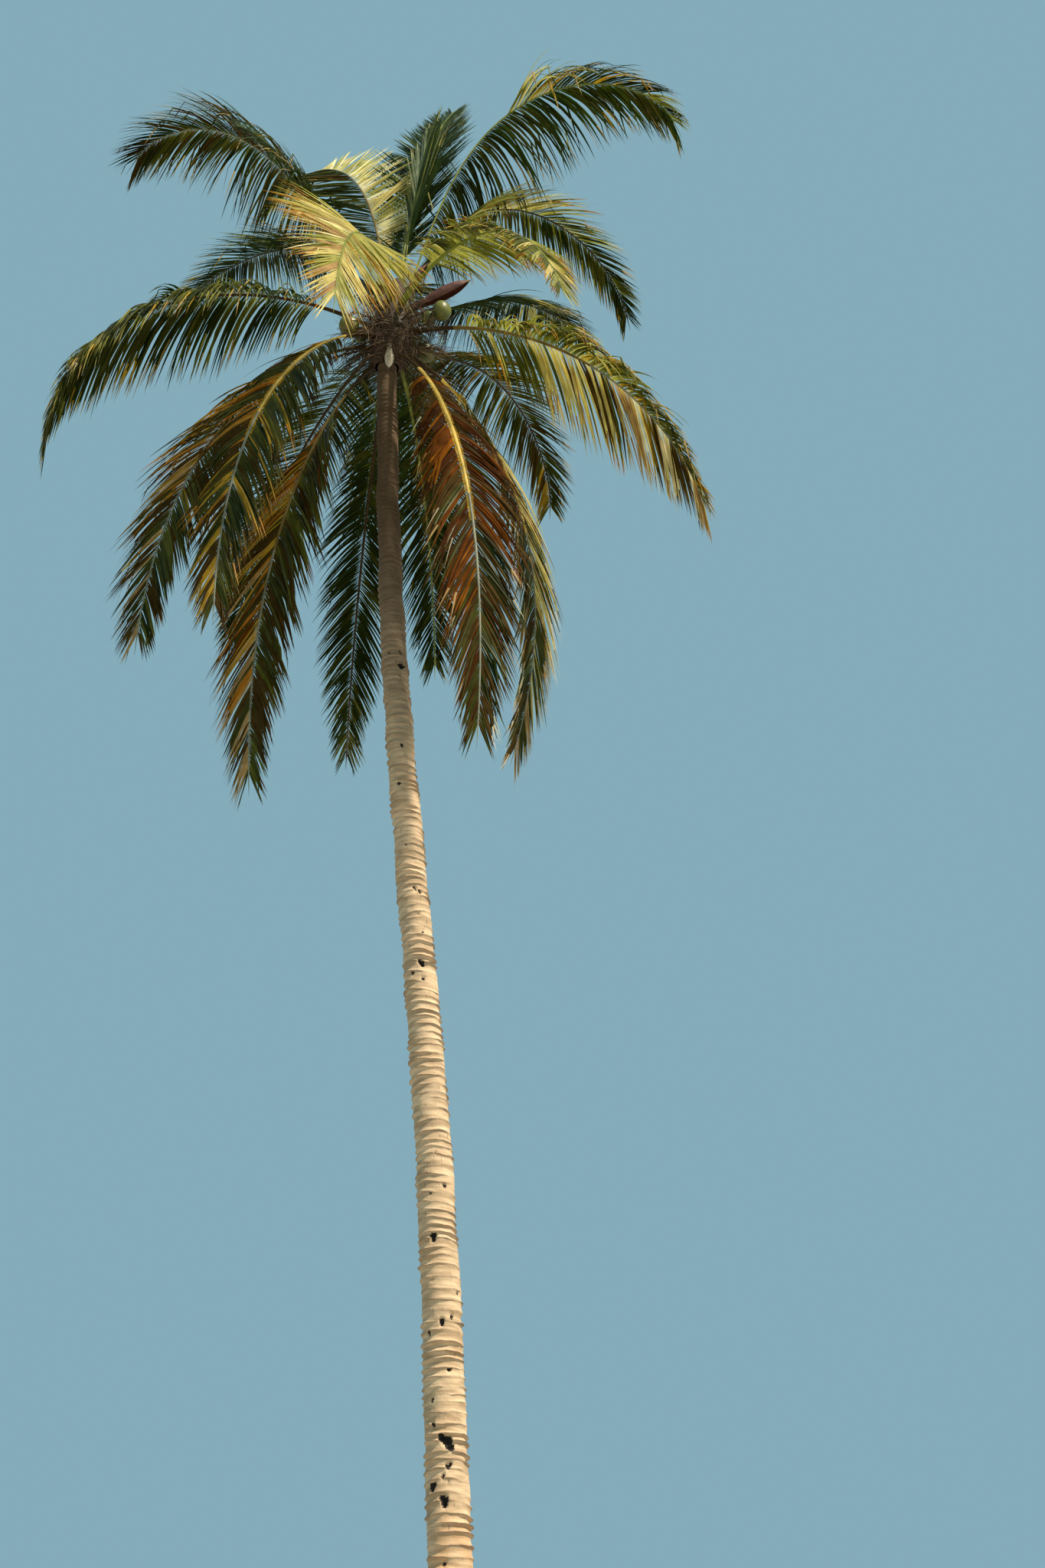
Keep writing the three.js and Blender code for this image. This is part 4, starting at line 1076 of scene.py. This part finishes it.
# The heights between which the stain fades in downwards and the crown's brown and painted
# shadow upwards, and how strong each gets
STAIN_FROM, STAIN_FULL, STAIN_SHARE = 9, 3, 0.7
CROWN_FROM, CROWN_FULL, CROWN_SHARE = 11.5, 15.4, 0.92
GREY_SHARE, CRACK_SHARE, SCAR_SHARES = 0.45, 0.75, (0.1, 0.6)

# Other materials: the dark and light of their grain, roughness, how fine the grain is, and
# how much finer along each axis
EVEN, UPRIGHT, UPRIGHT_FINE = (1, 1, 1), (1, 1, 4), (1, 1, 5)
PLAIN = {
    "fibre_brown": ((0.030, 0.016, 0.008), (0.115, 0.060, 0.028), 0.9, 30, UPRIGHT),
    "fibre_tan": ((0.11, 0.065, 0.03), (0.28, 0.18, 0.09), 0.85, 30, UPRIGHT),
    "base_green": ((0.05, 0.045, 0.012), (0.14, 0.115, 0.03), 0.5, 12, UPRIGHT),
    "base_olive": ((0.035, 0.023, 0.009), (0.105, 0.068, 0.025), 0.6, 14, UPRIGHT),
    # The husk is darker than a husk's own green, partly painted shade of the crown
    "husk": ((0.050, 0.060, 0.006), (0.16, 0.155, 0.016), 0.42, 6, EVEN),
    "bract_wood": ((0.075, 0.023, 0.013), (0.18, 0.058, 0.032), 0.55, 14, EVEN),
    "bract_dry": ((0.50, 0.40, 0.28), (0.74, 0.65, 0.50), 0.8, 20, UPRIGHT_FINE),
    # The near-black inside of the holes is painted shade
    "hole_painted_shade": ((0.010, 0.007, 0.005), (0.03, 0.02, 0.014), 0.95, 30, EVEN),
}


class Surface:
    """A material with one Principled shader and the nodes that feed it."""

    def __init__(self, name, roughness, specular=0.5):
        self.material = bpy.data.materials.new(name)
        self.material.use_nodes = True
        self.tree = self.material.node_tree
        self.shader = self.tree.nodes["Principled BSDF"]
        self.feed(self.shader, {"Roughness": roughness, "Specular IOR Level": specular})
        self.place = self.tree.nodes.new("ShaderNodeTexCoord").outputs["Object"]

    def feed(self, node, inputs):
        """Sets a node's inputs, or links them where the value is a node's output."""
        for name, value in inputs.items():
            if isinstance(value, bpy.types.NodeSocket):
                self.tree.links.new(value, node.inputs[name])
            else:
                node.inputs[name].default_value = value

    def node(self, kind, inputs, **settings):
        node = self.tree.nodes.new(kind)
        for name, value in settings.items():
            setattr(node, name, value)
        self.feed(node, inputs)
        return node

    def noise(self, scale, detail, stretch=(1, 1, 1)):
        mapping = self.node("ShaderNodeMapping", {"Vector": self.place, "Scale": stretch})
        inputs = {"Vector": mapping.outputs["Vector"], "Scale": scale, "Detail": detail}
        return self.node("ShaderNodeTexNoise", inputs).outputs["Fac"]

    def ranged(self, value, low, high, to_low=0.0, to_high=1.0):
        inputs = {"Value": value, "From Min": low, "From Max": high, "To Min": to_low, "To Max": to_high}
        return self.node("ShaderNodeMapRange", inputs, interpolation_type="SMOOTHSTEP").outputs["Result"]

    def product(self, a, b):
        return self.node("ShaderNodeMath", {0: a, 1: b}, operation="MULTIPLY").outputs[0]

    def blend(self, factor, a, b):
        """A mix of two colours, each a plain colour or another node's output."""
        a, b = ((*colour, 1) if isinstance(colour, tuple) else colour for colour in (a, b))
        return self.node("ShaderNodeMix", {0: factor, 6: a, 7: b}, data_type="RGBA").outputs[2]

    def colour(self, source):
        self.feed(self.shader, {"Base Color": source})

    def bump(self, height, strength, distance):
        inputs = {"Height": height, "Strength": strength, "Distance": distance}
        self.feed(self.shader, {"Normal": self.node("ShaderNodeBump", inputs).outputs["Normal"]})


def shade(colour, factor):
    return tuple(min(1.0, c * factor) for c in colour)


def leaf_material(name, colour):
    """Waxy or dry leaf that lets some light through."""
    roughness, specular = DRY_FINISH if name in DRY_TONES else FRESH_FINISH
    surface = Surface("leaf_" + name, roughness, specular)
    surface.feed(surface.shader, {"Specular Tint": GLOSS_TINT})
    mottling = surface.ranged(surface.noise(scale=5.0, detail=4), low=0.3, high=0.7)
    surface.colour(surface.blend(mottling, shade(colour, MOTTLE_DARK), shade(colour, MOTTLE_LIGHT)))
    surface.bump(surface.noise(scale=160, detail=2, stretch=(1, 1, 0.2)), strength=0.25, distance=0.002)
    tinted = (min(1.0, c * tint) for c, tint in zip(colour, THROUGH_TINT))
    through = surface.node("ShaderNodeBsdfTranslucent", {"Color": (*tinted, 1)}).outputs[0]
    both = surface.node("ShaderNodeMixShader",
                        {0: THROUGH_SHARE, 1: surface.shader.outputs[0], 2: through}).outputs[0]
    surface.feed(surface.tree.nodes["Material Output"], {"Surface": both})
    return surface.material


def plain_material(name, dark, light, roughness, scale, stretch):
    surface = Surface(name, roughness)
    grain = surface.noise(scale, detail=5, stretch=stretch)
    surface.colour(surface.blend(surface.ranged(grain, low=0.3, high=0.7), dark, light))
    surface.bump(grain, strength=0.4, distance=0.004)
    return surface.material


def bark_material():
    """Grey tan bark with fine cracks, stained in patches, and browner near the crown, partly as painted
    crown shadow.
    """
    surface = Surface("bark", roughness=0.85, specular=0.25)
    height = surface.node("ShaderNodeSeparateXYZ", {0: surface.place}).outputs["Z"]
    bands = surface.noise(scale=3.2, detail=4, stretch=(1.2, 1.2, 9))
    patches = surface.noise(scale=1.6, detail=3, stretch=(1.6, 1.6, 1))
    cracks = surface.noise(scale=9, detail=4, stretch=(7, 7, 0.7))
    grain = surface.noise(scale=60, detail=4, stretch=(1, 1, 0.5))
    colour = surface.blend(surface.ranged(bands, 0.32, 0.68), BARK_DARK, BARK_LIGHT)
    stain = surface.product(surface.ranged(patches, 0.48, 0.66),
                            surface.ranged(height, STAIN_FROM, STAIN_FULL, 0.0, STAIN_SHARE))
    colour = surface.blend(stain, colour, BARK_STAIN)
    colour = surface.blend(surface.ranged(patches, 0.42, 0.25, 0.0, GREY_SHARE), colour, BARK_GREY)
    colour = surface.blend(surface.ranged(cracks, 0.36, 0.26, 0.0, CRACK_SHARE), colour, BARK_CRACK)
    scar = surface.node("ShaderNodeAttribute", {}, attribute_name="scar").outputs["Fac"]
    scarred = surface.product(scar, surface.ranged(grain, 0.25, 0.7, *SCAR_SHARES))
    colour = surface.blend(scarred, colour, BARK_SCAR)
    # Browner bark near the crown, partly painted shadow of the crown, darkening the trunk upwards
    browned_and_shaded = surface.ranged(height, CROWN_FROM, CROWN_FULL, 0.0, CROWN_SHARE)
    surface.colour(surface.blend(browned_and_shaded, colour, BARK_CROWN_BROWN_AND_SHADE))
    surface.bump(grain, strength=0.5, distance=0.006)
    return surface.material


# Stage, light and camera

SKY = (0.235, 0.41, 0.49)
# The sun: how far round it stands from -Y towards +X, its height, strength, colour and
# width in the sky
SUN_BEARING = 50
SUN_HEIGHT = 50
SUN_STRENGTH = 5.4
SUN_COLOUR = (1.0, 0.92, 0.80)
SUN_WIDTH = 2.5
FLOOR_SIZE, FLOOR_LEVEL = 400, -0.002
FLOOR_DARK, FLOOR_LIGHT = (0.36, 0.35, 0.32), (0.42, 0.41, 0.38)


def build_stage():
    world = bpy.data.worlds.new("studio")
    bpy.context.scene.world = world
    world.use_nodes = True
    background = world.node_tree.nodes["Background"]
    background.inputs["Color"].default_value = (*SKY, 1)
    background.inputs["Strength"].default_value = 1.0
    bpy.ops.mesh.primitive_plane_add(size=FLOOR_SIZE, location=(0, 0, FLOOR_LEVEL))
    floor = bpy.context.object
    floor.name = "floor"
    pale = Surface("floor_pale", roughness=0.9)
    pale.colour(pale.blend(pale.noise(scale=0.3, detail=2), FLOOR_DARK, FLOOR_LIGHT))
    floor.data.materials.append(pale.material)

    key = bpy.data.lights.new("key", "SUN")
    key.energy = SUN_STRENGTH
    key.color = SUN_COLOUR
    key.angle = math.radians(SUN_WIDTH)
    sun = bpy.data.objects.new("key", key)
    bpy.context.scene.collection.objects.link(sun)
    sun.rotation_euler = (math.radians(90 - SUN_HEIGHT), 0, math.radians(SUN_BEARING))


def build_camera():
    lens = bpy.data.cameras.new("camera")
    lens.lens = LENS
    lens.sensor_width = SENSOR
    lens.clip_end = CLIP_END
    camera = bpy.data.objects.new("camera", lens)
    bpy.context.scene.collection.objects.link(camera)
    camera.location = CAMERA_PLACE
    camera.rotation_euler = (math.radians(90 + CAMERA_TILT), 0, 0)
    bpy.context.scene.camera = camera


bpy.context.scene.view_settings.view_transform = "Standard"
build_camera()
build_stage()
leaves = [leaf_material(name, colour) for name, colour in TONES.items()]
plain = {name: plain_material(name, *form) for name, form in PLAIN.items()}
build_trunk(bark_material(), plain["hole_painted_shade"])
build_heart(plain["fibre_brown"])
build_leaf_bases([plain["base_green"], plain["base_olive"], plain["fibre_brown"]])
build_fibre([plain["fibre_brown"], plain["fibre_tan"]])
build_ribs(leaves)
build_leaflets(leaves)
build_nuts(plain["husk"], plain["fibre_brown"])
build_flower_stalks([plain["fibre_tan"], plain["fibre_brown"]])
build_bracts(plain)
